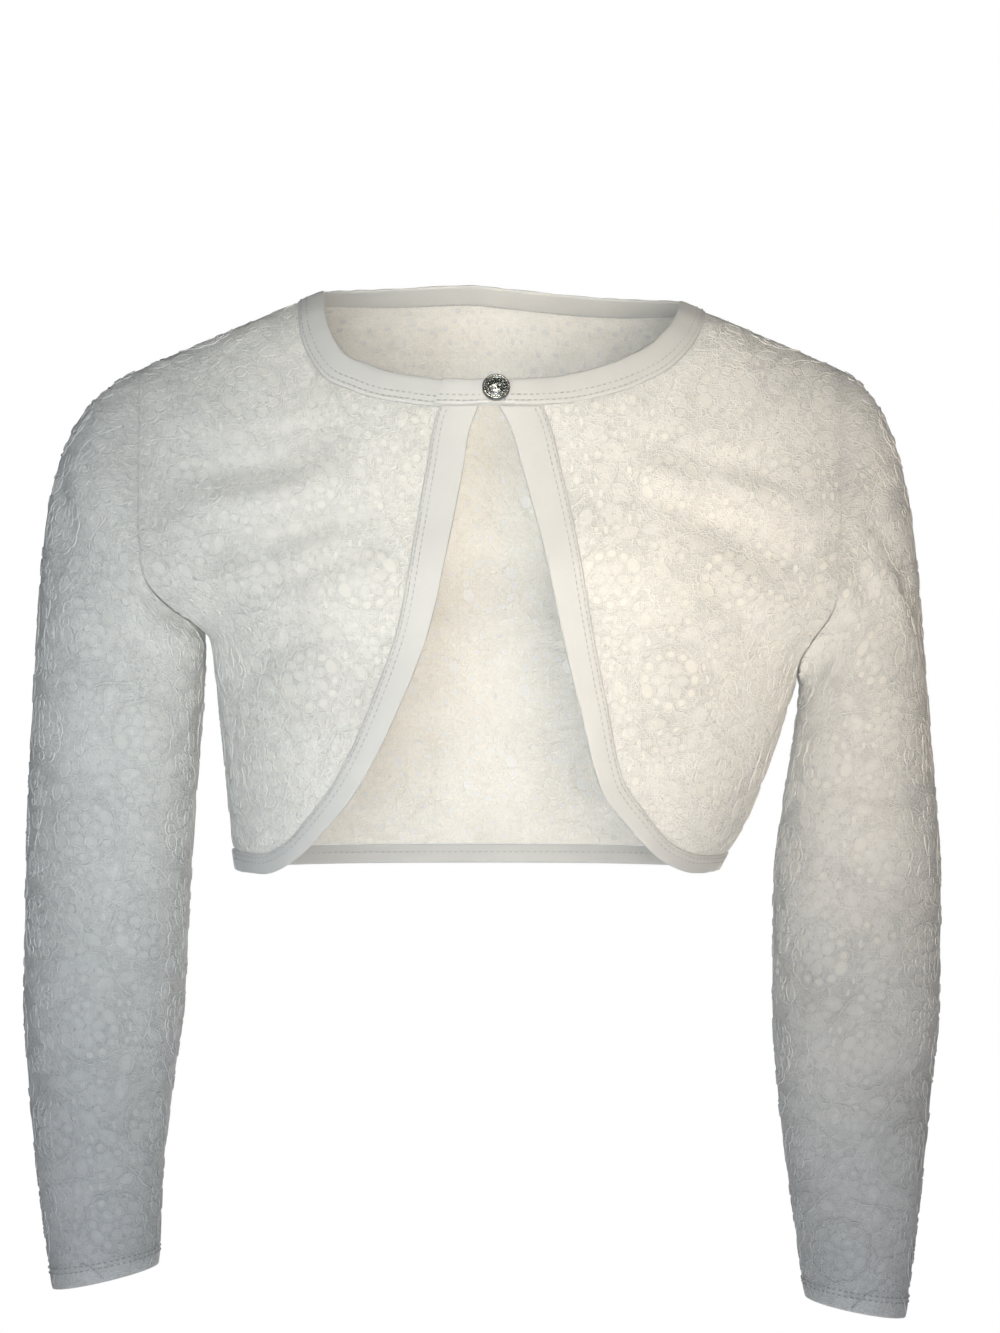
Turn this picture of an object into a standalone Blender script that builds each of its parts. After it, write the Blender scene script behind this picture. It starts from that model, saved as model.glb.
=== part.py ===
"""Child's lace bolero shrug in its worn form, closed by one button at the neck.

The garment is a set of thin walls of stretch lace with plain jersey bindings. Two smooth surfaces
carry every piece: the torso, which runs from the front hem over the shoulders to the back hem,
and a sleeve tube on each side. Each piece is an outline on one of them, drawn as a flat pattern.

Sizes are in millimetres and are turned into metres when a mesh is made. +X is the wearer's left,
-Y is the front and +Z is up. The origin lies midway between the neck points of the shoulders,
where the wearer holds the garment up.
"""

import math
from collections import namedtuple
from functools import partial

import bpy
import numpy as np
from mathutils import Vector
from mathutils.geometry import delaunay_2d_cdt

METRES = 0.001

# Walls and seams
LACE_WALL = 1.2
BAND_WALL = 2.0
BAND_RISE = 0.4
SEAM_GAP = 0.3

# Triangles of a flat piece: spacing of its inner points and how far they keep from edges and gaps
LACE_POINT_SPACING = 14.5
EDGE_CLEARANCE = 0.5
GAP_CLEARANCE = 0.6
SHARP_ANGLE = math.radians(50.0)

# Torso sections: reach is the half width to each side of the centre line.
Section = namedtuple("Section", "z reach_right reach_left depth_front depth_back squareness")
TORSO_SECTIONS = (
    Section(-300, 110, 92, 76, 72, 2.40),
    Section(-262, 116, 104, 78, 74, 2.45),
    Section(-240, 119, 117, 79, 76, 2.50),
    Section(-218, 121, 126, 80, 78, 2.50),
    Section(-198, 123, 133, 81, 79, 2.50),
    Section(-178, 125, 139.5, 81, 80, 2.50),
    Section(-170, 126, 142, 81, 80, 2.50),
    Section(-156, 128, 154, 81, 80, 2.45),
    Section(-140, 156, 184, 81, 80, 2.30),
    Section(-122, 198, 207, 81, 80, 2.15),
    Section(-100, 214, 214, 80, 80, 2.05),
    Section(60, 214, 214, 80, 80, 2.05),
)

# Crest of the shoulders: its height over the centre line, its slope and how far the slope is eased
CREST_HEIGHT = 38.0
CREST_SLOPE = 0.43
CREST_EASE = 20.0

# Roll of the cloth from the crest down to its full depth: how far below, and how round
FRONT_FALL, FRONT_ROUND = 150.0, 1.40
BACK_FALL, BACK_ROUND = 75.0, 1.90

# Neckline, measured on the cloth from the crest
NECK_CENTRE = 5.5
NECK_HALF_WIDTH = 82.0
NECK_FRONT_DROP = 86.5
NECK_BACK_DROP = 57.0
NECK_FRONT_SQUARENESS = 2.15
NECK_BACK_SQUARENESS = 1.5

# Front neckline: turn round the neck in degrees, and how much further down than its oval it lies
NECK_SAG = ((-180, 0.0), (-165, 12.0), (-150, 11.9), (-135, 8.2), (-120, 8.0), (-105, 10.8), (-97, 12.0),
            (-90, 11.2), (-75, 4.7), (-60, -0.9), (-45, -3.6), (-30, -3.4), (-15, -1.2), (0, 0.0))

# Neck binding: a strip whose lapped end lies over its other end
NECK_BINDING_WIDTH = 12.0
NECK_LAP_END = -20.0
NECK_UNDERLAP_END = 9.0
NECK_LAP_EASE = 24.0

HEM_LEVEL = -262.0
HEM_BAND_WIDTH = 9.0

# Free edge of each front, top to bottom: place in front view and width of the band there
EdgeRow = namedtuple("EdgeRow", "x z band")
RIGHT_FRONT_EDGE = (
    EdgeRow(-5.0, -52.5, 16.0),
    EdgeRow(-8.6, -62.0, 16.5),
    EdgeRow(-11.8, -81.4, 16.5),
    EdgeRow(-18.8, -117.0, 15.5),
    EdgeRow(-26.8, -152.5, 14.0),
    EdgeRow(-40.6, -188.0, 12.5),
    EdgeRow(-58.9, -223.4, 11.0),
    EdgeRow(-73.3, -241.4, 10.0),
    EdgeRow(-88.5, -256.0, 9.0),
    EdgeRow(-100.5, -262.0, 9.0),
)
LEFT_FRONT_EDGE = (
    EdgeRow(4.2, -52.5, 17.0),
    EdgeRow(9.2, -62.0, 17.5),
    EdgeRow(14.8, -81.4, 17.0),
    EdgeRow(24.1, -117.0, 15.5),
    EdgeRow(31.6, -152.5, 14.0),
    EdgeRow(40.0, -188.0, 12.5),
    EdgeRow(49.4, -223.3, 11.0),
    EdgeRow(62.8, -241.2, 10.0),
    EdgeRow(77.0, -255.5, 9.0),
    EdgeRow(90.0, -261.5, 9.0),
)
FRONT_EDGES = {-1: RIGHT_FRONT_EDGE, 1: LEFT_FRONT_EDGE}

# Armhole: share of the way down from the crest to the underarm, and column of the torso there
ArmholeRow = namedtuple("ArmholeRow", "down front_column back_column")
ARMHOLE = (
    ArmholeRow(0.00, 164.0, 164.0),
    ArmholeRow(0.20, 163.0, 163.5),
    ArmholeRow(0.45, 162.0, 163.0),
    ArmholeRow(0.70, 161.5, 162.5),
    ArmholeRow(0.88, 161.5, 162.5),
)
UNDERARM_LEVEL = {-1: -153.0, 1: -172.0}
ARMHOLE_SAMPLES = 200

# Sleeve rings below the armhole: outer and inner line in front view, x as distance from the centre
SleeveRing = namedtuple("SleeveRing", "outer_x outer_z inner_x inner_z depth_front depth_back")
RIGHT_SLEEVE = (
    SleeveRing(207.5, -146, 130.6, -160, 46, 44),
    SleeveRing(209.5, -178, 131.5, -182, 45, 43),
    SleeveRing(211.5, -216, 134.5, -217, 43, 41),
    SleeveRing(213.0, -262, 137.5, -262, 41, 39),
    SleeveRing(214.0, -320, 140.5, -320, 38, 37),
    SleeveRing(211.5, -365, 146.0, -363, 35, 34),
    SleeveRing(207.5, -405, 150.5, -401, 31, 31),
    SleeveRing(201.0, -454, 152.5, -443, 27, 27),
)
LEFT_SLEEVE = (
    SleeveRing(198.5, -152, 142.8, -178, 46, 44),
    SleeveRing(201.5, -190, 140.5, -197, 45, 43),
    SleeveRing(204.5, -226, 135.5, -228, 43, 41),
    SleeveRing(207.0, -270, 130.5, -270, 41, 39),
    SleeveRing(206.5, -320, 130.0, -320, 38, 37),
    SleeveRing(202.5, -365, 132.5, -365, 35, 34),
    SleeveRing(198.5, -405, 137.0, -402, 31, 31),
    SleeveRing(191.0, -467, 145.0, -458, 27, 27),
)
SLEEVES = {-1: RIGHT_SLEEVE, 1: LEFT_SLEEVE}
SLEEVE_SQUARENESS = 2.1
CAP_FULLNESS = {-1: 1.12, 1: 0.84}

# Largest folds: place and size on the cloth, and how deep the trough is (a ridge is less than 0)
Fold = namedtuple("Fold", "piece across up angle length width depth")
MAIN_FOLDS = (
    Fold("front_right", -112, 54, 8, 90, 9, 2.4),
    Fold("front_right", -96, 20, 16, 120, 11, 2.6),
    Fold("front_right", -118, -8, 30, 70, 10, 2.2),
    Fold("front_left", 118, 18, -34, 80, 11, 2.4),
    Fold("front_left", 104, 56, -14, 90, 10, 2.0),
    Fold("back", -100, 20, 24, 110, 13, 2.4),
    Fold("back", 104, 14, -22, 110, 13, 2.4),
    Fold("back", 6, 66, 3, 120, 12, 1.8),
)
FOLD_FULL_SHARE, FOLD_END_SHARE = 0.2, 0.55
FOLD_FADE = 16.0

# Lace: one flower in each repeat, in staggered rows, with its two largest gaps cut through
FLOWER_PITCH = 54.0
FLOWER_ROW = 45.0
GAP_LENGTH = 6.4
GAP_WIDTH = 4.8
GAP_REACH = 11.5
GAP_ANGLES = (32.0, 205.0)
GAP_SIDES = 6
GAP_MARGIN = 5.5

# Button: turned metal face with a raised rim, on a shank
SHANK_RADIUS = 1.3
BUTTON_PROFILE = ((0.0, 3.0), (2.6, 3.1), (4.3, 2.9), (4.8, 3.3), (5.6, 3.5), (6.2, 3.1), (6.5, 2.4),
                  (6.2, 1.7), (SHANK_RADIUS, 0.2))
BUTTON_STEPS = 20
BUTTON_MERGE_DISTANCE = 0.00001
BUTTON_X = 2.8
BUTTON_OUT = 5.5
BUTTON_CLEARANCE = 0.4
BUTTONHOLE_LENGTH = 7.0
BUTTONHOLE_WIDTH = 3.6
BUTTONHOLE_SIDES = 8


def spline(x, xs, ys):
    """Smooth curve through the rows of a table, without overshoot, level beyond its ends."""
    xs = np.asarray(xs, dtype=float)
    ys = np.asarray(ys, dtype=float)
    rises = np.diff(ys) / np.diff(xs)
    before, after = rises[:-1], rises[1:]
    level = before * after <= 0.0
    shared = np.where(level, 0.0, 2.0 * before * after / np.where(level, 1.0, before + after))
    slopes = np.concatenate((rises[:1], shared, rises[-1:]))
    row = np.clip(np.searchsorted(xs, x) - 1, 0, len(xs) - 2)
    step = xs[row + 1] - xs[row]
    t = np.clip((x - xs[row]) / step, 0.0, 1.0)
    rise = (2 * t - 3) * t * t
    between = (1 + rise) * ys[row] - rise * ys[row + 1]
    lean = ((t - 2) * t + 1) * t * slopes[row] + (t - 1) * t * t * slopes[row + 1]
    return between + step * lean


def smoothstep(x, low, high):
    """0 below low, 1 above high and a smooth rise between."""
    t = np.clip((x - low) / (high - low), 0.0, 1.0)
    return t * t * (3.0 - 2.0 * t)


def unit(vectors):
    """Vectors of length 1."""
    return vectors / np.maximum(np.linalg.norm(vectors, axis=-1, keepdims=True), 1e-9)


def lengths_along(points):
    """Distance along a run of points, from its first point."""
    steps = np.linalg.norm(np.diff(points, axis=0), axis=1)
    return np.concatenate(([0.0], np.cumsum(steps)))


def crest(x):
    """Height of the shoulder crest at a distance x from the centre line."""
    return CREST_HEIGHT - CREST_SLOPE * np.sqrt(x * x + CREST_EASE ** 2)


def depth_share(below, fall, roundness):
    """Share of the full depth that the cloth has reached at a distance below the crest."""
    q = np.clip(below / fall, 0.0, 1.0)
    return np.sqrt(1.0 - (1.0 - q) ** roundness)


class Torso:
    """Front and back of the garment as one smooth surface over both shoulders.

    A column is a line of cloth from the front hem over the shoulder to the back hem, named by its
    distance round the front from the centre line, less than 0 to the wearer's right. w is the
    distance along a column from the crest, less than 0 in front. Flat patterns use the column
    and up, the distance above the chest line.
    """

    STEP = 2.0
    LEVELS = np.arange(-300.0, 61.0, 2.5)
    COLUMNS = np.arange(-236.0, 236.1, STEP)
    ALONG = np.arange(-340.0, 340.1, STEP)
    CHEST_LINE = -130.0
    CREST_LEVEL = -80.0
    LOWEST = -300.0
    SAMPLES = 240
    SECTION_SAMPLES = 1200
    SECTION_TURN = 0.8 * math.pi
    SEARCH_ROUNDS = 30
    SEARCH_STEP = 6.0
    LEAST_SPREAD = 0.05
    LEVEL_ROUNDS = 14
    SIDE_COLUMNS = np.arange(80.0, 236.0, 1.0)

    def __init__(self):
        halves = [self._half(-1, "depth_front", FRONT_FALL, FRONT_ROUND),
                  self._half(1, "depth_back", BACK_FALL, BACK_ROUND)]
        self.to_chest = [half[1] for half in halves]
        self.grid = np.empty((len(self.COLUMNS), len(self.ALONG), 3))
        for i in range(len(self.COLUMNS)):
            front, back = halves[0][0][i], halves[1][0][i]
            points = np.concatenate((front[0][::-1], back[0][1:]))
            along = np.concatenate((-front[1][::-1], back[1][1:]))
            for k in range(3):
                self.grid[i, :, k] = np.interp(self.ALONG, along, points[:, k])

    def _sections(self, depth_name):
        """x and depth of each column at each level, by distance round a superellipse."""
        zs = [row.z for row in TORSO_SECTIONS]
        angles = np.linspace(0.0, self.SECTION_TURN, self.SECTION_SAMPLES)
        xs = np.empty((len(self.LEVELS), len(self.COLUMNS)))
        ys = np.empty_like(xs)
        left = self.COLUMNS >= 0
        for i, z in enumerate(self.LEVELS):
            power = 2.0 / spline(z, zs, [row.squareness for row in TORSO_SECTIONS])
            depth = spline(z, zs, [getattr(row, depth_name) for row in TORSO_SECTIONS])
            for sign, name, own in ((1, "reach_left", left), (-1, "reach_right", ~left)):
                reach = spline(z, zs, [getattr(row, name) for row in TORSO_SECTIONS])
                x = reach * np.sin(angles) ** power
                y = depth * np.sign(np.cos(angles)) * np.abs(np.cos(angles)) ** power
                along = lengths_along(np.stack((x, y), axis=1))
                xs[i, own] = sign * np.interp(np.abs(self.COLUMNS[own]), along, x)
                ys[i, own] = np.interp(np.abs(self.COLUMNS[own]), along, y)
        return xs, ys

    def _half(self, facing, depth_name, fall, roundness):
        """Points and distances down each column on one side of the crest."""
        xs, ys = self._sections(depth_name)
        columns = []
        to_chest = []
        for i in range(len(self.COLUMNS)):
            top = crest(np.interp(self.CREST_LEVEL, self.LEVELS, xs[:, i]))
            below = (top - self.LOWEST) * np.linspace(0.0, 1.0, self.SAMPLES) ** 2
            z = top - below
            x = np.interp(z, self.LEVELS, xs[:, i])
            y = facing * np.interp(z, self.LEVELS, ys[:, i]) * depth_share(below, fall, roundness)
            points = np.stack((x, y, z), axis=1)
            along = lengths_along(points)
            columns.append((points, along))
            to_chest.append(np.interp(-self.CHEST_LINE, -z, along))
        return columns, np.array(to_chest)

    def at(self, column, w):
        """Points on the surface, by column and distance from the crest."""
        return read_grid(self.grid, (column - self.COLUMNS[0]) / self.STEP, (w - self.ALONG[0]) / self.STEP)

    def crest_up(self, column, facing):
        """How far above the chest line the crest lies on a column."""
        return np.interp(column, self.COLUMNS, self.to_chest[0 if facing < 0 else 1])

    def place(self, flat, facing):
        """Points of a flat pattern put on the surface; facing is -1 for the front, 1 for the back."""
        flat = np.asarray(flat, dtype=float)
        column, up = flat[..., 0], flat[..., 1]
        return self.at(column, facing * (self.crest_up(column, facing) - up))

    def chart(self, facing):
        """The function that puts a flat pattern on the front or the back."""
        return partial(self.place, facing=facing)

    def flat_from_w(self, column, w, facing):
        """Flat place of points given by column and distance from the crest."""
        return np.stack((column, self.crest_up(column, facing) - np.abs(w)), axis=-1)

    def flat_from_view(self, x, z, facing):
        """Flat place of points given by their x and z, found by Newton's method."""
        flat = np.stack((np.asarray(x, float), np.asarray(z, float) - self.CHEST_LINE), axis=-1)
        target = np.stack((np.asarray(x, float), np.asarray(z, float)), axis=-1)
        for _ in range(self.SEARCH_ROUNDS):
            here = self.place(flat, facing)[..., [0, 2]]
            over = self.place(flat + [1.0, 0.0], facing)[..., [0, 2]] - here
            up = self.place(flat + [0.0, 1.0], facing)[..., [0, 2]] - here
            miss = target - here
            det = over[..., 0] * up[..., 1] - over[..., 1] * up[..., 0]
            det = np.where(np.abs(det) < self.LEAST_SPREAD, self.LEAST_SPREAD, det)
            step = np.stack((miss[..., 0] * up[..., 1] - miss[..., 1] * up[..., 0],
                             over[..., 0] * miss[..., 1] - over[..., 1] * miss[..., 0]), axis=-1)
            flat = flat + np.clip(step / det[..., None], -self.SEARCH_STEP, self.SEARCH_STEP)
        return flat

    def side_column(self, z, side, facing):
        """Column of the side seam at a height, where the section crosses the plane of the crest."""
        columns = side * self.SIDE_COLUMNS
        ups = self.up_at_height(columns, z, facing)
        depth = facing * self.place(np.stack((columns, ups), axis=-1), facing)[:, 1]
        crossing = int(np.argmax(depth <= 0.0)) if (depth <= 0.0).any() else len(columns) - 1
        share = depth[crossing - 1] / max(depth[crossing - 1] - depth[crossing], 1e-9)
        column = columns[crossing - 1] + side * share
        return np.array([column, np.interp(share, [0, 1], ups[crossing - 1:crossing + 1])])

    def up_at_height(self, column, z, facing):
        """How far up the flat pattern a column reaches a height."""
        column = np.asarray(column, dtype=float)
        up = np.full(column.shape, float(z)) - self.CHEST_LINE
        for _ in range(self.LEVEL_ROUNDS):
            up = up + (z - self.place(np.stack((column, up), axis=-1), facing)[..., 2])
        return up


def read_grid(grid, row, column):
    """Values between the points of a grid, by row and column numbers with fractions."""
    u = np.clip(row, 0, grid.shape[0] - 1.001)
    v = np.clip(column, 0, grid.shape[1] - 1.001)
    i = u.astype(int)
    j = v.astype(int)
    s = (u - i)[..., None]
    t = (v - j)[..., None]
    low = grid[i, j] * (1 - s) + grid[i + 1, j] * s
    high = grid[i, j + 1] * (1 - s) + grid[i + 1, j + 1] * s
    return low * (1 - t) + high * t


class Sleeve:
    """One sleeve as a tube, from the armhole seam down to the cuff.

    The flat pattern uses round, the distance round the tube from its outer line, more than 0 in
    front, and up, the distance above the underarm ring. Above that ring the cap rises to the
    armhole seam, which the torso hands over.
    """

    ANGLES = np.linspace(-180.0, 180.0, 145)
    ANGLE_STEP = 2.5
    CAP_STEPS = 28
    CAP_TURN = (80.0, 150.0)
    RING_STEPS = 90
    RING_SAMPLES = 361

    def __init__(self, torso, side):
        self.side = side
        rows = SLEEVES[side]
        values = {name: [getattr(row, name) for row in rows] for name in SleeveRing._fields}
        middle = np.stack([(np.array(values["outer_x"]) + values["inner_x"]) / 2,
                           (np.array(values["outer_z"]) + values["inner_z"]) / 2], axis=1)
        down = lengths_along(middle)
        self.length = down[-1]
        self.downs = np.linspace(0.0, self.length, self.RING_STEPS)
        rings = []
        self.radii = np.empty(self.RING_STEPS)
        for i, distance in enumerate(self.downs):
            ring = {name: spline(distance, down, values[name]) for name in values}
            points, girth = self._ring(ring)
            rings.append(points)
            self.radii[i] = girth / (2.0 * math.pi)
        self.rings = np.array(rings)
        self._build_cap(torso)

    def _ring(self, ring):
        """Points round one ring at even shares of its girth, and the girth."""
        turn = np.linspace(0.0, math.pi, self.RING_SAMPLES)
        power = 2.0 / SLEEVE_SQUARENESS
        cos = np.sign(np.cos(turn)) * np.abs(np.cos(turn)) ** power
        sin = np.abs(np.sin(turn)) ** power
        outer = np.array([ring["outer_x"], 0.0, ring["outer_z"]])
        inner = np.array([ring["inner_x"], 0.0, ring["inner_z"]])
        centre = (outer + inner) / 2
        half = (outer - inner) / 2
        points = np.empty((len(self.ANGLES), 3))
        girth = 0.0
        for facing, depth in ((-1, ring["depth_front"]), (1, ring["depth_back"])):
            loop = centre + cos[:, None] * half + sin[:, None] * np.array([0.0, facing * depth, 0.0])
            along = lengths_along(loop)
            girth += along[-1]
            own = self.ANGLES >= 0 if facing < 0 else self.ANGLES < 0
            share = np.abs(self.ANGLES[own]) / 180.0 * along[-1]
            for k in range(3):
                points[own, k] = np.interp(share, along, loop[:, k])
        points[:, 0] *= self.side
        return points, girth

    def _build_cap(self, torso):
        """Lines of cloth from the armhole seam to the underarm ring, smooth into both."""
        seam = np.empty((len(self.ANGLES), 3))
        away = np.empty_like(seam)
        for facing in (-1, 1):
            own = self.ANGLES >= 0 if facing < 0 else self.ANGLES < 0
            flat = armhole_flat(torso, self.side, facing, np.abs(self.ANGLES[own]) / 180.0)
            seam[own] = torso.place(flat, facing)
            ahead = torso.place(flat + [self.side * 1.0, 0.0], facing) - seam[own]
            above = torso.place(flat + [0.0, 1.0], facing) - seam[own]
            order = np.argsort(np.abs(self.ANGLES[own]))
            run = np.empty_like(seam[own])
            run[order] = np.gradient(seam[own][order], axis=0)
            normal = unit(np.cross(ahead, above))
            across = unit(np.cross(normal, run))
            across *= np.sign(np.sum(across * ahead, axis=1, keepdims=True))
            away[own] = across
        ring = self.rings[0]
        downward = unit(self.rings[3] - ring)
        turned = smoothstep(np.abs(self.ANGLES), *self.CAP_TURN)[:, None]
        away = unit(away * (1 - turned) + downward * turned)
        reach = CAP_FULLNESS[self.side] * np.linalg.norm(ring - seam, axis=1, keepdims=True)
        lines = []
        for t in np.linspace(0.0, 1.0, self.CAP_STEPS):
            rise = (3 - 2 * t) * t * t
            lines.append((1 - rise) * seam + rise * ring + reach * (((t - 2) * t + 1) * t * away
                                                                   + (t - 1) * t * t * downward))
        lines = np.array(lines)
        self.cap_lengths = np.linalg.norm(np.diff(lines, axis=0), axis=2).sum(axis=0)
        self.cap = np.empty_like(lines)
        shares = np.linspace(0.0, 1.0, self.CAP_STEPS)
        for i in range(len(self.ANGLES)):
            along = lengths_along(lines[:, i])
            for k in range(3):
                self.cap[:, i, k] = np.interp(shares * along[-1], along, lines[:, i, k])

    def radius(self, up):
        """Mean radius of the tube at a place above the underarm ring."""
        return np.interp(-np.asarray(up, dtype=float), self.downs, self.radii)

    def cap_top(self, angle):
        """How far above the underarm ring the armhole seam lies, by angle round the sleeve."""
        return np.interp(angle, self.ANGLES, self.cap_lengths)

    def place(self, flat):
        """Points of the flat pattern put on the tube."""
        flat = np.asarray(flat, dtype=float)
        around, up = flat[..., 0], flat[..., 1]
        angle = (np.degrees(around / self.radius(np.minimum(up, 0.0))) + 180.0) % 360.0 - 180.0
        step = (angle + 180.0) / self.ANGLE_STEP
        low = read_grid(self.rings, -up / self.length * (self.RING_STEPS - 1), step)
        share = 1.0 - np.clip(up / self.cap_top(angle), 0.0, 1.0)
        high = read_grid(self.cap, share * (self.CAP_STEPS - 1), step)
        return np.where((up > 0.0)[..., None], high, low)


def armhole_flat(torso, side, facing, shares):
    """Flat places along the armhole seam, by share of its length from the crest to the underarm."""
    column_name = "front_column" if facing < 0 else "back_column"
    columns = side * np.array([getattr(row, column_name) for row in ARMHOLE])
    tops = torso.crest_up(columns, facing)
    underarm = torso.side_column(UNDERARM_LEVEL[side], side, facing)
    ups = tops + (underarm[1] - tops) * np.array([row.down for row in ARMHOLE])
    points = np.concatenate((np.stack((columns, ups), axis=1), underarm[None]))
    along = lengths_along(points)
    fine = np.linspace(0.0, along[-1], ARMHOLE_SAMPLES)
    run = np.stack((spline(fine, along, points[:, 0]), spline(fine, along, points[:, 1])), axis=1)
    distance = lengths_along(torso.place(run, facing))
    target = np.asarray(shares) * distance[-1]
    return np.stack([np.interp(target, distance, run[:, k]) for k in range(2)], axis=-1)


class Pattern:
    """The flat outlines of every piece, with the stations that neighbours share along a seam."""

    NECK_STATIONS = 19
    NECK_SAMPLES = 721
    SHOULDER_STATIONS = 8
    ARMHOLE_STATIONS = 15
    SIDE_STATIONS = 9
    EDGE_SAMPLES = 300
    EDGE_SPACING = 14.0
    EDGE_TURN_WEIGHT = 22.0
    HEM_ROWS = 6
    HEM_STATIONS = 29
    UNDER_STATIONS = 30
    CUFF_STATIONS = 11
    OUTER_STATIONS = 40
    CLEAR_OF_NECK = 3.0
    CLEAR_OF_HEM = 4.0

    def __init__(self):
        self.torso = Torso()
        self.sleeves = {side: Sleeve(self.torso, side) for side in (-1, 1)}
        self.edges = {side: self._free_edge(side) for side in (-1, 1)}

    def neck_line(self, turn, offset):
        """Column and w on the neckline, moved out by an offset; turn 0 is the left crest."""
        turn = np.asarray(turn, dtype=float)

        def loop(angle):
            """Neckline itself."""
            cos, sin = np.cos(angle), np.sin(angle)
            power = 2.0 / np.where(sin < 0.0, NECK_FRONT_SQUARENESS, NECK_BACK_SQUARENESS)
            drop = np.where(sin < 0.0, NECK_FRONT_DROP, NECK_BACK_DROP)
            column = NECK_CENTRE + NECK_HALF_WIDTH * np.sign(cos) * np.abs(cos) ** power
            turns, sags = zip(*NECK_SAG)
            front_turn = (np.degrees(angle) + 180.0) % 360.0 - 180.0
            sag = np.where(sin < 0.0, spline(front_turn, turns, sags), 0.0)
            return np.stack((column, drop * np.sign(sin) * np.abs(sin) ** power - sag), axis=-1)

        small = 0.02
        run = unit(loop(turn + small) - loop(turn - small))
        out = np.stack((run[..., 1], -run[..., 0]), axis=-1)
        return loop(turn) + out * np.asarray(offset)[..., None]

    def neck_flat(self, turn, offset, facing):
        """Flat places on the moved neckline."""
        line = self.neck_line(turn, offset)
        return self.torso.flat_from_w(line[..., 0], line[..., 1], facing)

    def neck_turn_at(self, column, offset, facing):
        """Turn at which the moved neckline meets a column."""
        turns = np.linspace(0.0, math.pi, self.NECK_SAMPLES) * (1.0 if facing > 0 else -1.0)
        columns = self.neck_line(turns, offset)[:, 0]
        order = np.argsort(columns)
        return float(np.interp(column, columns[order], turns[order]))

    def _free_edge(self, side):
        """Flat places and band widths on a free edge, from the neck binding round to the side seam."""
        rows = FRONT_EDGES[side]
        flat = self.torso.flat_from_view([row.x for row in rows], [row.z for row in rows], -1)
        seam = self.torso.side_column(HEM_LEVEL, side, -1)
        columns = np.linspace(flat[-1, 0], seam[0], self.HEM_ROWS)[1:]
        hem = np.stack((columns, self.torso.up_at_height(columns, HEM_LEVEL, -1)), axis=1)
        points = np.concatenate((flat, hem))
        widths = np.concatenate(([row.band for row in rows], np.full(len(hem), HEM_BAND_WIDTH)))
        along = lengths_along(points)
        fine = np.linspace(0.0, along[-1], self.EDGE_SAMPLES)
        values = (points[:, 0], points[:, 1], widths)
        return np.stack([spline(fine, along, value) for value in values], axis=1)

    def edge_stations(self, side):
        """Stations down a free edge, closer together round the curved corner."""
        edge = self.edges[side]
        along = lengths_along(edge[:, :2])
        run = np.gradient(edge[:, :2], axis=0)
        heading = np.unwrap(np.arctan2(run[:, 1], run[:, 0]))
        turning = np.cumsum(np.abs(np.gradient(heading)))
        weight = turning * self.EDGE_TURN_WEIGHT + along / self.EDGE_SPACING
        count = int(weight[-1]) + 1
        return np.interp(np.linspace(weight[0], weight[-1], count), weight, along)

    def edge_offset(self, side, distance, share):
        """Flat places beside a free edge, at a share of the band's width in from it."""
        edge = self.edges[side]
        along = lengths_along(edge[:, :2])
        point = np.stack([np.interp(distance, along, edge[:, k]) for k in range(3)], axis=-1)
        near = np.asarray(distance) + np.array([[-2.0], [2.0]])
        behind, ahead = np.stack([np.interp(near, along, edge[:, k]) for k in range(2)], axis=-1)
        run = unit(ahead - behind)
        inward = side * np.stack((-run[..., 1], run[..., 0]), axis=-1)
        return point[..., :2] + inward * point[..., 2:3] * np.asarray(share)[..., None]

    def band_seam(self, side, gap):
        """Where lace meets the band of a front, from the neck seam to the side seam."""
        stations = self.edge_stations(side)
        seam = self.edge_offset(side, stations, np.ones(len(stations)))
        further = self.edge_offset(side, stations, np.full(len(stations), 1.2))
        seam = seam + unit(further - seam) * gap
        turn = self.neck_turn_at(seam[0, 0], NECK_BINDING_WIDTH + SEAM_GAP, -1)
        start = self.neck_flat(turn, NECK_BINDING_WIDTH + SEAM_GAP, -1)
        below = seam[:, 1] < start[1] - self.CLEAR_OF_NECK
        seam = np.concatenate((start[None], seam[below]))
        seam[-1] = self.side_point(side, -1, HEM_LEVEL, HEM_BAND_WIDTH + gap)
        return seam

    def side_point(self, side, facing, z, above=0.0):
        """Point on the side seam at a height, just short of the seam."""
        column, up = self.torso.side_column(z, side, facing)
        higher = self.torso.side_column(z + self.CLEAR_OF_HEM, side, facing)
        place = np.array([column, up]) + unit(higher - [column, up]) * above
        return place - [side * SEAM_GAP / 2, 0.0]

    def side_seam(self, side, facing, low):
        """Side seam from the underarm down to the band."""
        levels = np.linspace(UNDERARM_LEVEL[side], HEM_LEVEL, self.SIDE_STATIONS)[1:-1]
        points = np.array([self.side_point(side, facing, z) for z in levels])
        return points[points[:, 1] > low[1] + self.CLEAR_OF_HEM]

    def front(self, side):
        """Outline of a front, anticlockwise for the wearer's left."""
        seam = self.band_seam(side, SEAM_GAP)
        offset = NECK_BINDING_WIDTH + SEAM_GAP
        turn = self.neck_turn_at(seam[0, 0], offset, -1)
        crest_turn = self.neck_crest_turn(side, -1)
        neck = self.neck_flat(np.linspace(turn, crest_turn, self.NECK_STATIONS), offset, -1)
        shoulder = self.shoulder(side, -1, neck[-1, 0])
        armhole = self.armhole(side, -1)
        sides = self.side_seam(side, -1, seam[-1])
        return np.concatenate((seam[::-1][:-1], neck, shoulder[1:-1], armhole, sides))

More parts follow.
